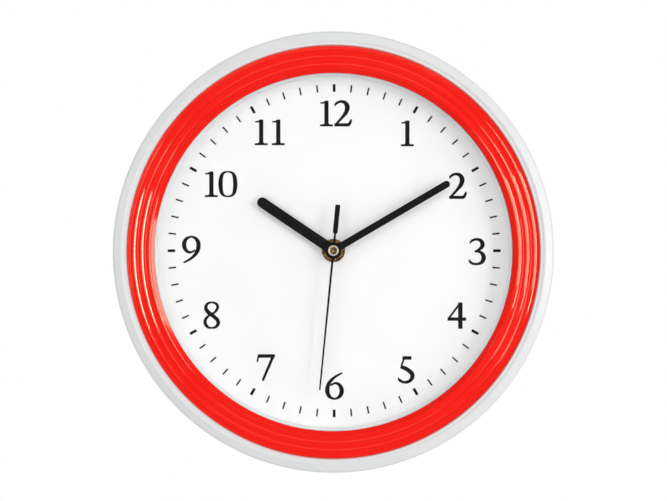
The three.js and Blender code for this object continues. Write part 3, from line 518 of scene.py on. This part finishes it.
def rimLoop():
    # chamfer out of the groove, flat step, low riser and a narrow facet up to the crest, then a cone
    # that falls by tan(tilt) a millimetre, a rounded shoulder into the straight band, and the skirt
    # that draws in to the wall; the inside follows it one wall further in
    s = rimSizes
    wall, foot = s["wall"], s["skirt"]
    coneFoot = s["crestDepth"] - (s["coneEnd"] - s["crest"]) * math.tan(math.radians(s["tilt"]))
    inside = arcPoints((s["crest"], s["crestDepth"] - s["insideDrop"]), s["outer"] - s["crest"] - wall,
                       s["insideDrop"] - wall, 0, 90, 10)
    facetFoot = s["crestDepth"] - s["facet"] * math.tan(math.radians(s["facetTilt"]))
    corners = [(s["step"], s["stepEdge"]), (s["stepIn"], s["stepDepth"]), (s["riser"], s["stepDepth"]),
               (s["crest"] - s["facet"], facetFoot), (s["crest"], s["crestDepth"]), (s["coneEnd"], coneFoot),
               (s["outer"], s["sideTop"]), (s["outer"], s["band"]), (foot, 0), (foot - wall, 0),
               (s["outer"] - wall, s["band"])]
    radii = [0.1, 0.2, 0.12, 0.1, 0.12, s["shoulder"], 6, 3, 0.5, 0.5, 2]
    corners += inside.tolist() + [(s["step"] + wall, s["crestDepth"] - s["insideDrop"]),
                                  (s["step"] + wall, s["ledgeBack"]), (s["ledge"], s["ledgeBack"]),
                                  (s["ledge"], s["ledgeFront"]), (s["step"], s["ledgeFront"])]
    radii += [0] * len(inside) + [0.2, 0.3, 0.3, 0.3, 0.1]
    return rounded(corners, radii, 9)


addPiece("rimShell", turned(rimLoop(), rimCentre, 320), whiteAbs, "case", ["case"])


# Bezel.

bezelSizes = {"lip": 101.4, "outer": 116.7, "sideDrop": 0.6, "lensFront": 34.4, "lipFront": 34.9,
              "bevel": [(103.2, 35.85), (103.45, 37.25), (104.25, 37.63)],
              "firstRidge": (104.5, 37.9), "fluteWidth": 4.4, "rollWidth": 2.5,
              "wall": 2.2, "innerWall": 2.5, "pocket": 104, "foot": 31, "hollow": 34.4, "edge": 0.1,
              "runSteps": 29, "sideSteps": 13}

# Slope across a flute and across the outer roll, as rise over run at shares of the width.
fluteSlope = {"at": (0, 0.42, 0.46, 0.6, 0.65, 0.88, 1), "rise": (-0.47, -0.33, 0, 0, 0.46, 0.495, 1.15)}
rollSlope = {"at": (0, 0.65, 0.75, 1), "rise": (-0.47, -0.33, 0, 0)}


def slopedRun(start, width, slope, count):
    # profile whose slope is given: height = start + the running sum of slope·step
    t = np.linspace(0, 1, count)
    rise = np.interp(t, slope["at"], slope["rise"])
    height = np.concatenate(([0], np.cumsum((rise[1:] + rise[:-1]) / 2 * width / (count - 1))))
    return np.stack((start[0] + width * t, start[1] + height), -1)


def bezelLoop():
    # bevel up from the lens, two hollow flutes between sharp ridges, a wider outer roll, then the
    # foot and its hollow
    s = bezelSizes
    corners = [(s["lip"], s["lensFront"]), (s["lip"], s["lipFront"])] + s["bevel"]
    radii = [0.05, 0.15, 0.1, 0.1, 0]
    ridge = s["firstRidge"]
    for width, slope in ((s["fluteWidth"], fluteSlope), (s["fluteWidth"], fluteSlope),
                         (s["rollWidth"], rollSlope)):
        run = slopedRun(ridge, width, slope, s["runSteps"])
        corners += run[:-1].tolist()
        radii += [s["edge"]] + [0] * (len(run) - 2)
        ridge = tuple(run[-1])
    side = arcPoints((ridge[0], ridge[1] - s["sideDrop"]), s["outer"] - ridge[0], s["sideDrop"], 90, 0,
                     s["sideSteps"])
    corners += side.tolist()
    radii += [0] * len(side)
    outer, inner = s["outer"] - s["wall"], s["pocket"] + s["innerWall"]
    corners += [(s["outer"], s["foot"]), (outer, s["foot"]), (outer, s["hollow"]), (inner, s["hollow"]),
                (inner, s["foot"]), (s["pocket"], s["foot"]), (s["pocket"], s["lensFront"])]
    radii += [0.2, 0.1, 0.3, 0.3, 0.1, 0.1, 0.05]
    return rounded(corners, radii, 5)


screwSizes = {"radius": 110.4, "hole": 1.35, "boss": 2.7, "inHollow": 0.2}


def screwPlaces():  # four, a quarter turn apart and half a quarter off upright
    angle = np.radians(45 + 90 * np.arange(4))
    return np.stack((np.cos(angle), np.sin(angle)), -1) * screwSizes["radius"] + rimCentre


def bossGrid(place):
    # sleeve round a screw, from the foot up into the hollow's roof
    s, b = screwSizes, bezelSizes
    loop = rounded([(s["hole"], b["foot"]), (s["hole"], b["hollow"] - s["inHollow"] / 2),
                    (s["boss"], b["hollow"] + s["inHollow"]), (s["boss"], b["foot"])], 0.15, 3)
    return turned(loop, place, 32)


addPiece("bezelRing", joinGrids(turned(bezelLoop(), rimCentre, 320), *[bossGrid(p) for p in screwPlaces()]),
         redAbs, "case", ["bezel"])


# Lens, spacer ring and dial.

lensSizes = {"radius": 103.7, "back": 32.6, "front": 34.4, "edge": 0.2}


def lensGrid():
    # disc: half its section swept about the case's axis
    s = lensSizes
    loop = rounded([(0, s["back"]), (s["radius"], s["back"]), (s["radius"], s["front"]), (0, s["front"])],
                   [0, s["edge"], s["edge"], 0], 3)
    return turned(loop, rimCentre, 256, closed=False)


addPiece("lensDisc", lensGrid(), acrylic, "case", ["lens"])

spacerSizes = {"outer": 103.7, "frontInner": 101.1, "backInner": 99.8, "back": 22.6, "front": 32.6,
               "edge": 0.25}


def spacerGrid():
    # ring whose inner wall leans out towards the lens
    s = spacerSizes
    loop = rounded([(s["backInner"], s["back"]), (s["frontInner"], s["front"]), (s["outer"], s["front"]),
                    (s["outer"], s["back"])], s["edge"], 4)
    return turned(loop, rimCentre, 256)


addPiece("spacerWall", spacerGrid(), whiteAbs, "case", ["spacer_ring"])

dialSizes = {"radius": 103.7, "bore": 4.3, "back": 22.0, "front": 22.6, "edge": 0.08}


def dialGrid():
    # ruled between the bore about the hand axis and the edge about the case's centre
    s = dialSizes
    loop = ringLoop(s["bore"], s["radius"], s["back"], s["front"], s["edge"], 3)
    atBore = loop[:, :1] < s["radius"] / 2
    return turned(loop, np.where(atBore, axisCentre, rimCentre), 256)


addPiece("dialSheet", dialGrid(), card, "case", ["dial"])


# Print on the dial: sixty ticks and twelve numerals.

tickSizes = {"inner": 90.6, "outer": 94.9, "hourWidth": 1.6, "minuteWidth": 0.92, "ink": 0.03,
             "offCentre": (0.42, -0.1)}  # the print sits a little off the hand axis
inkSection = [(-1, -0.4), (-0.96, 1), (0.96, 1), (1, -0.4)]  # film with steep edges, let into the card


def tickRing():
    # one straight bar per minute, all cut from the same ring
    s = tickSizes
    front = dialSizes["front"]
    bars = []
    for minute in range(60):
        width = s["hourWidth"] if minute % 5 == 0 else s["minuteWidth"]
        bar = carried([(0, s["inner"]), (0, s["outer"])], [(1, 0), (1, 0)], [width / 2, width / 2],
                      inkSection, s["ink"], front)
        bars.append(turnBy(bar, 6 * minute, axisCentre + s["offCentre"]))
    return joinGrids(*bars)


addPiece("dialTicks", tickRing(), ink, "case", sharp=30)

# Each digit is a few pen strokes; a row is x, y and pen width, in hundredths of the digit's height.
leftOfNought = [(0, 98.5, 5), (-17, 93, 8.5), (-25.5, 78, 13), (-28.5, 50, 15), (-25.5, 22, 13),
                (-17, 7, 8.5), (0, 1.5, 5)]
digitStrokes = {
    "0": [leftOfNought, [(-x, y, width) for x, y, width in leftOfNought]],
    "1": [
        [(0, 98.5, 14.5), (0, 4, 14.5)],
        [(-25, 3.5, 7), (25, 3.5, 7)],
        [(-13, 7.5, 1), (0, 9, 7), (13, 7.5, 1)],
        [(-23.5, 90, 5), (-13, 90.5, 6), (4, 95.5, 9)],
    ],
    "2": [
        [(-31.5, 79, 5), (-25, 88.5, 8.5), (-9, 95.5, 9), (8.5, 91, 13), (17, 75, 16.5), (12.5, 55, 14.5),
         (-2, 35, 10), (-30, 4, 7)],
        [(-33, 5.5, 11), (24, 5.5, 11)],
        [(20, 4, 10), (27, 12, 10), (33, 27, 6)],
    ],
    "3": [
        [(-29, 83, 4), (-19, 94.5, 8.5), (0, 99, 9), (15, 92.5, 13), (20.5, 79, 15), (15, 66, 12),
         (-1, 54.5, 7)],
        [(-10, 53, 8.5), (7, 51.5, 9), (19.5, 43, 13), (25, 28, 15.5), (19, 12, 13), (4, 4, 8.5),
         (-15, 4.5, 8.5), (-27.5, 12, 8.5), (-30.5, 21, 4)],
    ],
    "4": [
        [(13.5, 100, 15), (13.5, -2, 15)],
        [(-36, 35.5, 11.5), (36, 35.5, 11.5)],
        [(12, 96, 7), (-32, 37, 7)],
    ],
    "5": [
        [(-13, 95.5, 12), (22, 95.5, 12)],
        [(-7, 93, 6), (-17, 64, 7)],
        [(-20, 62, 12), (4, 52, 14), (23, 36, 15), (25, 20, 14), (13, 5.5, 11), (-7, 1.5, 9), (-24, 10, 9),
         (-29, 19, 4)],
    ],
    "6": [
        [(32, 100, 6), (1, 82, 9), (-20, 58, 13), (-26, 31, 15), (-18, 9, 12), (2, -0.5, 7), (22, 9, 12),
         (30, 30, 15), (22, 52, 12), (5, 60, 8), (-14, 51, 6)],
    ],
    "7": [
        [(-32, 93.5, 12), (34.5, 93.5, 12)],
        [(-34.5, 70, 5), (-29, 93, 7)],
        [(27, 92, 10), (-13, -2, 8.5)],
    ],
    "8": [
        [(0, 99, 6), (-16, 93, 9), (-23, 77, 12), (-13, 60, 14), (5, 46, 13), (22, 30, 13), (25, 15, 12),
         (14, 2, 9), (0, -1, 6)],
        [(0, 99, 6), (17, 93, 9), (23, 78, 10), (12, 60, 8), (-6, 50, 7), (-22, 35, 10), (-25, 17, 12),
         (-14, 2, 9), (0, -1, 6)],
    ],
}
# a nine is the six turned half round
digitStrokes["9"] = [[(-x, 99 - y, width) for x, y, width in stroke] for stroke in digitStrokes["6"]]

numeralSizes = {"height": 14.75, "ink": 0.03, "stepUp": 0.002, "smooth": 9, "weight": 1.16, "spread": 1.003,
                "offCentre": (-0.08, 0.08)}

# Each numeral's middle, right and up from the hand axis, and the pitch of its digits.
numeralPlaces = {
    "12": (1.2, 77.9, (-0.345, 0.29)), "1": (42.1, 66.6, (0,)), "2": (70.7, 36.7, (0,)),
    "3": (81.8, -0.9, (0,)), "4": (70.2, -36.9, (0,)), "5": (41.2, -67.8, (0,)),
    "6": (0.4, -76.9, (0,)), "7": (-38.2, -66.4, (0,)), "8": (-69.1, -36.6, (0,)),
    "9": (-80.4, 0.5, (0,)), "10": (-64.0, 37.7, (-0.36, 0.28)), "11": (-35.9, 67.2, (-0.345, 0.315)),
}


def throughPoints(rows, steps):
    # smooth curve through the rows: cubic with each point's slope half the gap between its neighbours
    rows = np.asarray(rows, float)
    if len(rows) == 2:
        return rows
    padded = np.concatenate((2 * rows[:1] - rows[1:2], rows, 2 * rows[-1:] - rows[-2:-1]))
    p0, p1, p2, p3 = (padded[k:k + len(rows) - 1, None] for k in range(4))
    t = np.linspace(0, 1, steps, endpoint=False)[None, :, None]
    curve = 0.5 * (2 * p1 + (p2 - p0) * t + (2 * p0 - 5 * p1 + 4 * p2 - p3) * t ** 2
                   + (3 * p1 - p0 - 3 * p2 + p3) * t ** 3)
    return np.concatenate((curve.reshape(-1, rows.shape[1]), rows[-1:]))


def strokeGrid(rows, middle, height, lift):
    # pen line of changing width, square to its own path
    curve = throughPoints(rows, numeralSizes["smooth"]) / 100
    path = curve[:, :2] * height + middle
    along = np.gradient(path, axis=0)
    along /= np.linalg.norm(along, axis=1, keepdims=True)
    across = np.stack((along[:, 1], -along[:, 0]), -1)
    widths = curve[:, 2] * numeralSizes["weight"] * height / 2
    return carried(path, across, widths, inkSection, numeralSizes["ink"] + lift, dialSizes["front"])


def numeralGrids():
    # each stroke of a digit stands a hair higher than the one before, so that no two lie level
    s = numeralSizes
    grids = []
    for text, (x, z, pitches) in numeralPlaces.items():
        for digit, pitch in zip(text, pitches):
            middle = axisCentre + s["offCentre"] + [x * s["spread"] + pitch * s["height"],
                                                    z * s["spread"] - s["height"] / 2]
            for index, rows in enumerate(digitStrokes[digit]):
                grids.append(strokeGrid(rows, middle, s["height"], index * s["stepUp"]))
    return joinGrids(*grids)


addPiece("dialNumerals", numeralGrids(), ink, "case", sharp=30)
print("stage 3: case, bezel, lens and dial made")


# Hands.

handSizes = {
    "hour": {"length": 51.7, "width": 5.9, "hub": 4.7, "bore": 2.7, "back": 26.2, "angle": 304},
    "minute": {"length": 76.4, "width": 4.0, "hub": 4.4, "bore": 1.9, "back": 28.2, "angle": 59.6},
    "second": {"length": 79.5, "rootWidth": 1.3, "tipWidth": 0.9, "hub": 3.4, "bore": 1.2, "back": 30.2,
               "angle": 185.6, "root": 2.9, "tipEdge": 0.12, "neckWidth": 1.2, "neckFoot": 0.2,
               "neckSwell": 0.04, "tailStart": 9.6, "tailWidth": 2.8, "tailShoulder": 0.08, "tailEnd": 26.1,
               "tailEdge": 0.15},
    "thickness": 0.45, "edge": 0.09, "sectionEdge": 0.16, "inset": 0.01, "overlap": 0.6, "tipDegrees": 88}


def sheetSection():
    # stamped sheet with its edges a little rounded: s from −1 to 1 across, h from 0 to 1 through it
    return ringLoop(-1, 1, 0, 1, handSizes["sectionEdge"])


def hubGrid(bore, hub, back):
    # flat ring at the root of a hand
    loop = ringLoop(bore, hub, back, back + handSizes["thickness"], handSizes["edge"])
    points, faces, _ = turned(loop, (0, 0), 64)
    return points, faces, None


def bladeGrid(rows, back):
    # bar along the hand's own length: a row is the distance from the axis and the half width there
    rows = np.asarray(rows, float)
    path = np.stack((np.zeros(len(rows)), rows[:, 0]), -1)
    across = np.broadcast_to([1.0, 0.0], path.shape)
    inset = handSizes["inset"]
    return carried(path, across, rows[:, 1], sheetSection(), handSizes["thickness"] - 2 * inset, back + inset)


def roundTip(length, half, count=17):
    # rows of a half round end: distance = length − half + half·sin a, half width = half·cos a
    a = np.radians(np.linspace(0, handSizes["tipDegrees"], count))
    return np.stack((length - half + half * np.sin(a), half * np.cos(a)), -1)


def barHandGrid(size):
    # ring and a straight bar with a half round end; the bar starts a little inside the ring's edge
    half = size["width"] / 2
    start = math.sqrt(size["hub"] ** 2 - half ** 2) - handSizes["overlap"]
    rows = np.concatenate(([(start, half)], roundTip(size["length"], half)))
    return turnBy(joinGrids(hubGrid(size["bore"], size["hub"], size["back"]), bladeGrid(rows, size["back"])),
                  size["angle"], axisCentre)


def secondHandGrid():
    # ring, a needle that narrows to its tip, and a tail that widens past its neck
    s = handSizes["second"]
    needle = [(s["root"], s["rootWidth"] / 2), (s["length"] - s["tipEdge"], s["tipWidth"] / 2),
              (s["length"], s["tipWidth"] / 2 - s["tipEdge"])]
    neck, tail, start, edge = s["neckWidth"] / 2, s["tailWidth"] / 2, -s["tailStart"], s["tailEdge"]
    weight = [(-s["root"], neck), (start + s["neckFoot"], neck), (start, neck + s["neckSwell"]),
              (start - neck, tail - s["tailShoulder"]), (start - neck - edge, tail),
              (-s["tailEnd"] + edge, tail), (-s["tailEnd"], tail - edge)]
    return turnBy(joinGrids(hubGrid(s["bore"], s["hub"], s["back"]), bladeGrid(needle, s["back"]),
                            bladeGrid(weight, s["back"])), s["angle"], axisCentre)


addPiece("hourHandBlade", barHandGrid(handSizes["hour"]), lacquer, bodyOf["hour_hand"],
         ["hour_hand"])
addPiece("minuteHandBlade", barHandGrid(handSizes["minute"]), lacquer, bodyOf["minute_hand"],
         ["minute_hand"])
addPiece("secondHandNeedle", secondHandGrid(), lacquer, bodyOf["second_hand"],
         ["second_hand"])


# Brass and steel at the hand axis.

washerSizes = {"bore": 4.3, "outer": 6.65, "back": 22.6, "front": 23.1, "edge": 0.12}


def washerGrid():
    # flat ring: its section swept about the hand axis
    s = washerSizes
    return turned(ringLoop(s["bore"], s["outer"], s["back"], s["front"], s["edge"]), axisCentre, 96)


nutSizes = {"flats": 10, "bore": 4.3, "front": 25.0, "chamfer": 0.15, "backEdge": 0.1, "coneDegrees": 30,
            "sides": 6, "steps": 192}


def nutGrid():
    # hexagon r = flats/2 / cos(u) within each sixth, cut back by a cone at the front edge
    s = nutSizes
    half = math.pi / s["sides"]
    u = np.arange(s["steps"]) * 2 * math.pi / s["steps"]
    hexagon = s["flats"] / 2 / np.cos((u + half) % (2 * half) - half)
    flat, bore = np.full_like(u, s["flats"] / 2 - s["chamfer"]), np.full_like(u, s["bore"])
    back, front = np.full_like(u, washerSizes["front"]), np.full_like(u, s["front"])
    drop = (hexagon - flat) * math.tan(math.radians(s["coneDegrees"]))
    radii = np.stack((bore, bore, bore + s["chamfer"], flat, hexagon, hexagon, flat + s["backEdge"]))
    depths = np.stack((back, front - s["chamfer"], front, front, front - drop, back + s["backEdge"], back))
    x = axisCentre[0] + radii * np.cos(u)
    z = axisCentre[1] + radii * np.sin(u)
    return np.stack((x, depths, z), -1).reshape(-1, 3), gridFaces(*radii.shape, True, True), None


bushingSizes = {"bore": 2.8, "outer": 4.0, "front": 25.6, "flange": 6.0, "flangeBack": 16.9,
                "flangeFront": 17.9, "inset": 0.1, "pitch": 0.75, "ridge": 0.1, "threadSteps": 72,
                "segments": 96}


def bushingGrid():
    # turned tube with a flange; the thread is a ridge r + h·tri(d/pitch − u/2π) along the front part
    s = bushingSizes
    tube, segments = s["outer"] - s["inset"], s["segments"]
    loop = rounded([(s["bore"], s["flangeBack"]), (s["bore"], s["front"]), (tube, s["front"]),
                    (tube, s["flangeFront"]), (s["flange"], s["flangeFront"]),
                    (s["flange"], s["flangeBack"])], [0.15, 0.15, 0.25, 0.1, 0.15, 0.15], 4)
    cut = np.where((loop[:, 0] > tube - s["inset"]) & (loop[:, 0] < s["outer"]))[0]
    top, bottom = loop[cut[0]], loop[cut[-1]]
    steps = np.linspace(0, 1, s["threadSteps"] + 2)[:, None]
    thread = top * (1 - steps) + bottom * steps
    loop = np.concatenate((loop[:cut[0]], thread, loop[cut[-1] + 1:]))
    points, faces, _ = turned(loop, (0, 0), segments)
    u = np.tile(np.arange(segments) / segments, len(loop))
    ridge = np.abs(((points[:, 1] / s["pitch"] - u) % 1) * 2 - 1)
    onThread = np.zeros(len(loop), bool)
    onThread[cut[0] + 2:cut[0] + s["threadSteps"]] = True
    swell = np.where(np.repeat(onThread, segments), s["ridge"] * ridge, 0)
    points[:, [0, 2]] *= 1 + (swell / np.hypot(points[:, 0], points[:, 2]))[:, None]
    return points + [axisCentre[0], 0, axisCentre[1]], faces, None


eyeletSizes = {"radius": 3.0, "rim": 0.9, "tube": 1.1, "bore": 0.6, "seatDrop": 1.4, "floorRise": 0.47,
               "rimDrop": 0.6, "rimRise": 0.3, "rimInset": 0.05, "rollHalf": 0.5}


def eyeletGrid():
    # shallow bowl with the tube that grips the arbor behind it
    s = eyeletSizes
    back, front = depthsOf("second_hand_eyelet")
    half, seat = s["rim"] / 2, front - s["seatDrop"]
    rim = arcPoints((s["radius"] - half, front - s["rimDrop"]), half - s["rimInset"], s["rimRise"], 180, 0, 9)
    floorDepth = seat + s["floorRise"]
    bowl = rounded([(s["bore"], back), (s["bore"], floorDepth), (s["radius"] - s["rim"], floorDepth), rim[0]],
                   [0.1, 0.1, 0.35, 0], 6)[:-1]
    outside = rounded([rim[-1], (s["radius"], seat), (s["tube"], seat), (s["tube"], back)],
                      [0, 0.15, 0.05, 0.1], 4)[1:]
    return turned(np.concatenate((bowl, rim, outside)), axisCentre, 72)


def eyeletRimGrid():
    # bright ring rolled over the bowl's edge: an ellipse carried round the axis
    s = eyeletSizes
    middle = (s["radius"] - s["rim"] / 2, depthsOf("second_hand_eyelet")[1] - s["rollHalf"])
    return turned(arcPoints(middle, s["rim"] / 2, s["rollHalf"], 360, 0, 25)[:-1], axisCentre, 96)


arborSizes = {"radius": 0.5, "dome": 0.2, "chamfer": 0.1}


def arborGrid():
    # pin with a chamfered foot and, at the front, a dome that is half an ellipse
    s = arborSizes
    back, front = depthsOf("seconds_arbor")
    foot = [(0, back), (s["radius"] - s["chamfer"], back), (s["radius"], back + s["chamfer"])]
    dome = arcPoints((0, front - s["dome"]), s["radius"], s["dome"], 0, 90, 7)
    return turned(np.concatenate((foot, dome)), axisCentre, 32, closed=False)


addPiece("frontWasher", washerGrid(), brass, "case", ["brass_washer"])
addPiece("axisNut", nutGrid(), brass, "case", ["hex_nut"], sharp=25)
addPiece("threadedTube", bushingGrid(), brass, "case", ["threaded_bushing"])
addPiece("eyeletCup", eyeletGrid(), brass, bodyOf["second_hand_eyelet"], ["second_hand_eyelet"])
addPiece("eyeletRim", eyeletRimGrid(), nickel, bodyOf["second_hand_eyelet"])
addPiece("arborPin", arborGrid(), steel, bodyOf["seconds_arbor"], ["seconds_arbor"])
print("stage 4: hands and axis made")


# Set knob and cell, seen from the back.

knobSizes = {"radius": 5.5, "grooves": 12, "grooveDepth": 0.35, "grooveFrom": 0.8, "edge": 0.45, "dish": 3.4,
             "dishDepth": 0.4, "dishSlope": 0.5, "seat": 3.0, "stem": 1.2}


def knobGrid():
    # radius r − depth·(0.5 + 0.5·cos(n·u)) round the side, fading to nothing over the dished back
    s = knobSizes
    back, front = depthsOf("set_knob")
    loop = rounded([(0, back + s["dishDepth"]), (s["dish"], back + s["dishDepth"]),
                    (s["dish"] + s["dishSlope"], back), (s["radius"], back), (s["radius"], s["seat"]),
                    (s["stem"], s["seat"]), (s["stem"], front), (0, front)],
                   [0, 0.5, 0.2, s["edge"], 0.2, 0.1, 0.15, 0], 6)
    points, faces, _ = turned(loop, (0, 0), 144, closed=False)
    radius = np.hypot(points[:, 0], points[:, 2])
    angle = np.arctan2(points[:, 2], points[:, 0])
    share = np.clip((radius / s["radius"] - s["grooveFrom"]) / (1 - s["grooveFrom"]), 0, 1) ** 2
    cut = s["grooveDepth"] * share * (0.5 + 0.5 * np.cos(s["grooves"] * angle))
    shrink = (1 - cut / np.maximum(radius, 1e-6))[:, None]
    points[:, [0, 2]] = points[:, [0, 2]] * shrink + middleOf("set_knob")
    return points, faces, None


cellSizes = {"radius": 7.1, "film": 0.12, "filmLift": 0.02, "gap": 0.05, "nub": 2.7, "nubLength": 1.0,
             "nubSlope": 1.2, "nubStep": 0.25, "lap": 1.3, "ringGroove": 5.0, "ringWidth": 0.6, "dent": 0.2}


def alongAxis(grid, depth, z):
    # lays a turned piece on its side: its own axis runs along x
    points, faces, _ = grid
    return np.stack((points[:, 1], depth + points[:, 0], z + points[:, 2]), -1), faces, None


def cellCanLoop(start, end):
    # steel can: flat foot with a pressed ring, shoulder, and the nub at the other end
    s = cellSizes
    can, shoulder = s["radius"] - s["film"] - s["gap"], end - s["nubLength"]
    foot, dent = start + s["gap"], start + s["dent"]
    return rounded([(0, dent), (s["ringGroove"] - s["ringWidth"], dent), (s["ringGroove"], foot),
                    (can, foot), (can, shoulder), (s["nub"] + s["nubSlope"], shoulder),
                    (s["nub"], shoulder + s["nubStep"]), (s["nub"], end), (0, end)],
                   [0, 0.3, 0.2, 0.8, 0.9, 0.4, 0.2, 0.35, 0], 6)


def cellFilmLoop(start, end):
    # shrink film lapped a little way over both ends of the can
    s = cellSizes
    outer, inner, lap = s["radius"], s["radius"] - s["film"], s["radius"] - s["lap"]
    shoulder = end - s["nubLength"] + s["filmLift"]
    return rounded([(lap, start), (outer, start), (outer, shoulder + s["film"]), (lap, shoulder + s["film"]),
                    (lap, shoulder), (inner, shoulder), (inner, start + s["film"]), (lap, start + s["film"])],
                   [0.04, 0.8, 0.9, 0.04, 0.04, 0.8, 0.7, 0.04], 6)


def cellPieces():  # the can and its film, turned and laid along the bay
    low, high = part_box("battery_cell")
    start, end = low.x / mm, high.x / mm
    depth, z = sum(depthsOf("battery_cell")) / 2, middleOf("battery_cell")[1]
    return (alongAxis(turned(cellCanLoop(start, end), (0, 0), 96, closed=False), depth, z),
            alongAxis(turned(cellFilmLoop(start, end), (0, 0), 96), depth, z))


cellCan, cellFilm = cellPieces()
addPiece("setKnob", knobGrid(), knobAbs, bodyOf["set_knob"], ["set_knob"], sharp=50)
addPiece("cellCan", cellCan, steel, bodyOf["battery_cell"], ["battery_cell"], sharp=50)
addPiece("cellFilm", cellFilm, sleeve, bodyOf["battery_cell"], sharp=50)
print("stage 5: knob and cell made")


# Finishes of the pieces that keep their own shape.

finishes = (
    (panAbs, ("back_pan",)),
    (blackAbs, ("movement_housing", "movement_cover", "driver_chip")),
    (acetal, ("middle_plate", "rotor_pinion", "intermediate_wheel", "seconds_wheel", "third_wheel",
              "centre_wheel", "minute_pipe", "minute_wheel", "hour_wheel", "coil_bobbin")),
    (ferrite, ("rotor_magnet",)),
    (knobAbs, ("set_knob",)),
    (rubber, ("rubber_washer",)),
    (steel, ("stator", "coil_core", "quartz_crystal", "contact_positive", "contact_negative",
             "bezel_screw_1", "bezel_screw_2", "bezel_screw_3", "bezel_screw_4")),
    (copper, ("coil_winding",)),
    (solderMask, ("circuit_board",)),
    (sleeve, ("battery_cell",)),
)
for material, names in finishes:
    for name in names:
        for socket in frame["nodes"][name].material_slots:
            socket.material = material
print("stage 6: finishes given")


# Floor, lights and camera.

# Drop and size of the floor, and how deep the lamps aim, are in metres. The dark front gives way to the
# white back where the y of a direction, which points to the wall, lies between the limits of frontEdge.
studio = {"floorDrop": 0.35, "floorSize": 2.5, "worldForObject": 0.635, "background": 1.0, "front": 0.08,
          "frontEdge": (0.2, 0.6), "aimDepth": 0.03}


def addFloor():
    level = cadBox[0][2] - studio["floorDrop"]
    size = studio["floorSize"]
    mesh = bpy.data.meshes.new("studioFloor")
    mesh.from_pydata([(-size, -size, level), (size, -size, level), (size, size, level), (-size, size, level)],
                     [], [(0, 1, 2, 3)])
    floor = placed("studioFloor", mesh)
    floor.data.materials.append(plainFinish("paleFloorPaint"))
    floor.visible_glossy = False


def setWorld():
    # white wherever the camera, a reflection or clear plastic sees it, except that a reflection
    # of the side in front of the clock is dark, as it is behind the camera in a studio
    world = bpy.data.worlds.new("studioWorld")
    bpy.context.scene.world = world
    world.use_nodes = True
    tree = world.node_tree
    tree.nodes.clear()
    rays = addNode(tree, "LightPath")
    place = addNode(tree, "TexCoord").outputs["Generated"]
    axes = addNode(tree, "SeparateXYZ", {"Vector": place})
    edge = studio["frontEdge"]
    behind = addNode(tree, "MapRange", {
        "Value": axes.outputs["Y"], "From Min": edge[0], "From Max": edge[1], "To Min": studio["front"],
        "To Max": studio["background"]}, interpolation_type="SMOOTHSTEP")
    straight = addNode(tree, "Math", {0: rays.outputs["Is Camera Ray"],
                                      1: rays.outputs["Is Transmission Ray"]}, operation="MAXIMUM")
    seen = addNode(tree, "Math", {0: straight.outputs[0], 1: rays.outputs["Is Glossy Ray"]},
                   operation="MAXIMUM")
    anyDepth = 0.5  # a ray's depths are whole numbers, so this parts none from some
    notDiffused = addNode(tree, "Math", {0: rays.outputs["Diffuse Depth"], 1: anyDepth},
                          operation="LESS_THAN")
    share = addNode(tree, "Math", {0: seen.outputs[0], 1: notDiffused.outputs[0]}, operation="MULTIPLY")
    mirrored = addNode(tree, "Math", {0: rays.outputs["Glossy Depth"], 1: anyDepth},
                       operation="GREATER_THAN")
    tone = addNode(tree, "Mix", {"Factor": mirrored.outputs[0], 2: studio["background"],
                                 3: behind.outputs[0]}, data_type="FLOAT")
    strength = addNode(tree, "Mix", {"Factor": share.outputs[0], 2: studio["worldForObject"],
                                     3: tone.outputs[0]}, data_type="FLOAT")
    background = addNode(tree, "Background", {"Color": (1, 1, 1, 1), "Strength": strength.outputs[0]})
    addNode(tree, "OutputWorld", {"Surface": background.outputs[0]})


# Each lamp: its place from the aim and its size in metres, and its power in watts.
lamps = {
    "keyStrip": {"place": (1.02, -1.06, 0.05), "size": (0.08, 0.75), "power": 2.7},
    "keyPanel": {"place": (1.18, -0.98, 0.33), "size": (0.17, 1.15), "power": 2.4},
    "leftFill": {"place": (-0.95, -1.45, 0.25), "size": (0.6, 0.9), "power": 3.5},
    "topFill": {"place": (0.0, -1.7, 0.95), "size": (1.4, 0.6), "power": 3.1},
    "lowSide": {"place": (1.45, -0.6, 0.1), "size": (0.7, 1.2), "power": 3.2},
}


def addLamps():
    target = Vector((axisCentre[0] * mm, -studio["aimDepth"], axisCentre[1] * mm))
    for name, lamp in lamps.items():
        light = bpy.data.lights.new(name, "AREA")
        light.shape = "RECTANGLE"
        light.size, light.size_y = lamp["size"]
        light.energy = lamp["power"]
        lampObject = placed(name, light)
        lampObject.location = target + Vector(lamp["place"])
        lampObject.rotation_euler = Vector(lamp["place"]).to_track_quat("Z", "Y").to_euler()


# Distance is in metres; the rest is in millimetres.
cameraSizes = {"distance": 1.6, "planeDepth": 28, "viewWidth": 379.0561, "sensor": 36, "right": 0.05,
               "up": 0.03}


def addCamera():
    # long lens square to the wall; the width of the view at the clock's front sets the focal length
    s = cameraSizes
    camera = bpy.data.cameras.new("clockCamera")
    camera.sensor_width = s["sensor"]
    camera.lens = s["sensor"] * s["distance"] / (s["viewWidth"] * mm)
    cameraObject = placed("clockCamera", camera)
    cameraObject.location = ((axisCentre[0] + s["right"]) * mm, -s["planeDepth"] * mm - s["distance"],
                             (axisCentre[1] + s["up"]) * mm)
    cameraObject.rotation_euler = (math.pi / 2, 0, 0)
    bpy.context.scene.camera = cameraObject


addFloor()
setWorld()
addLamps()
addCamera()
bpy.context.scene.view_settings.view_transform = "Standard"
print("stage 7: studio set")
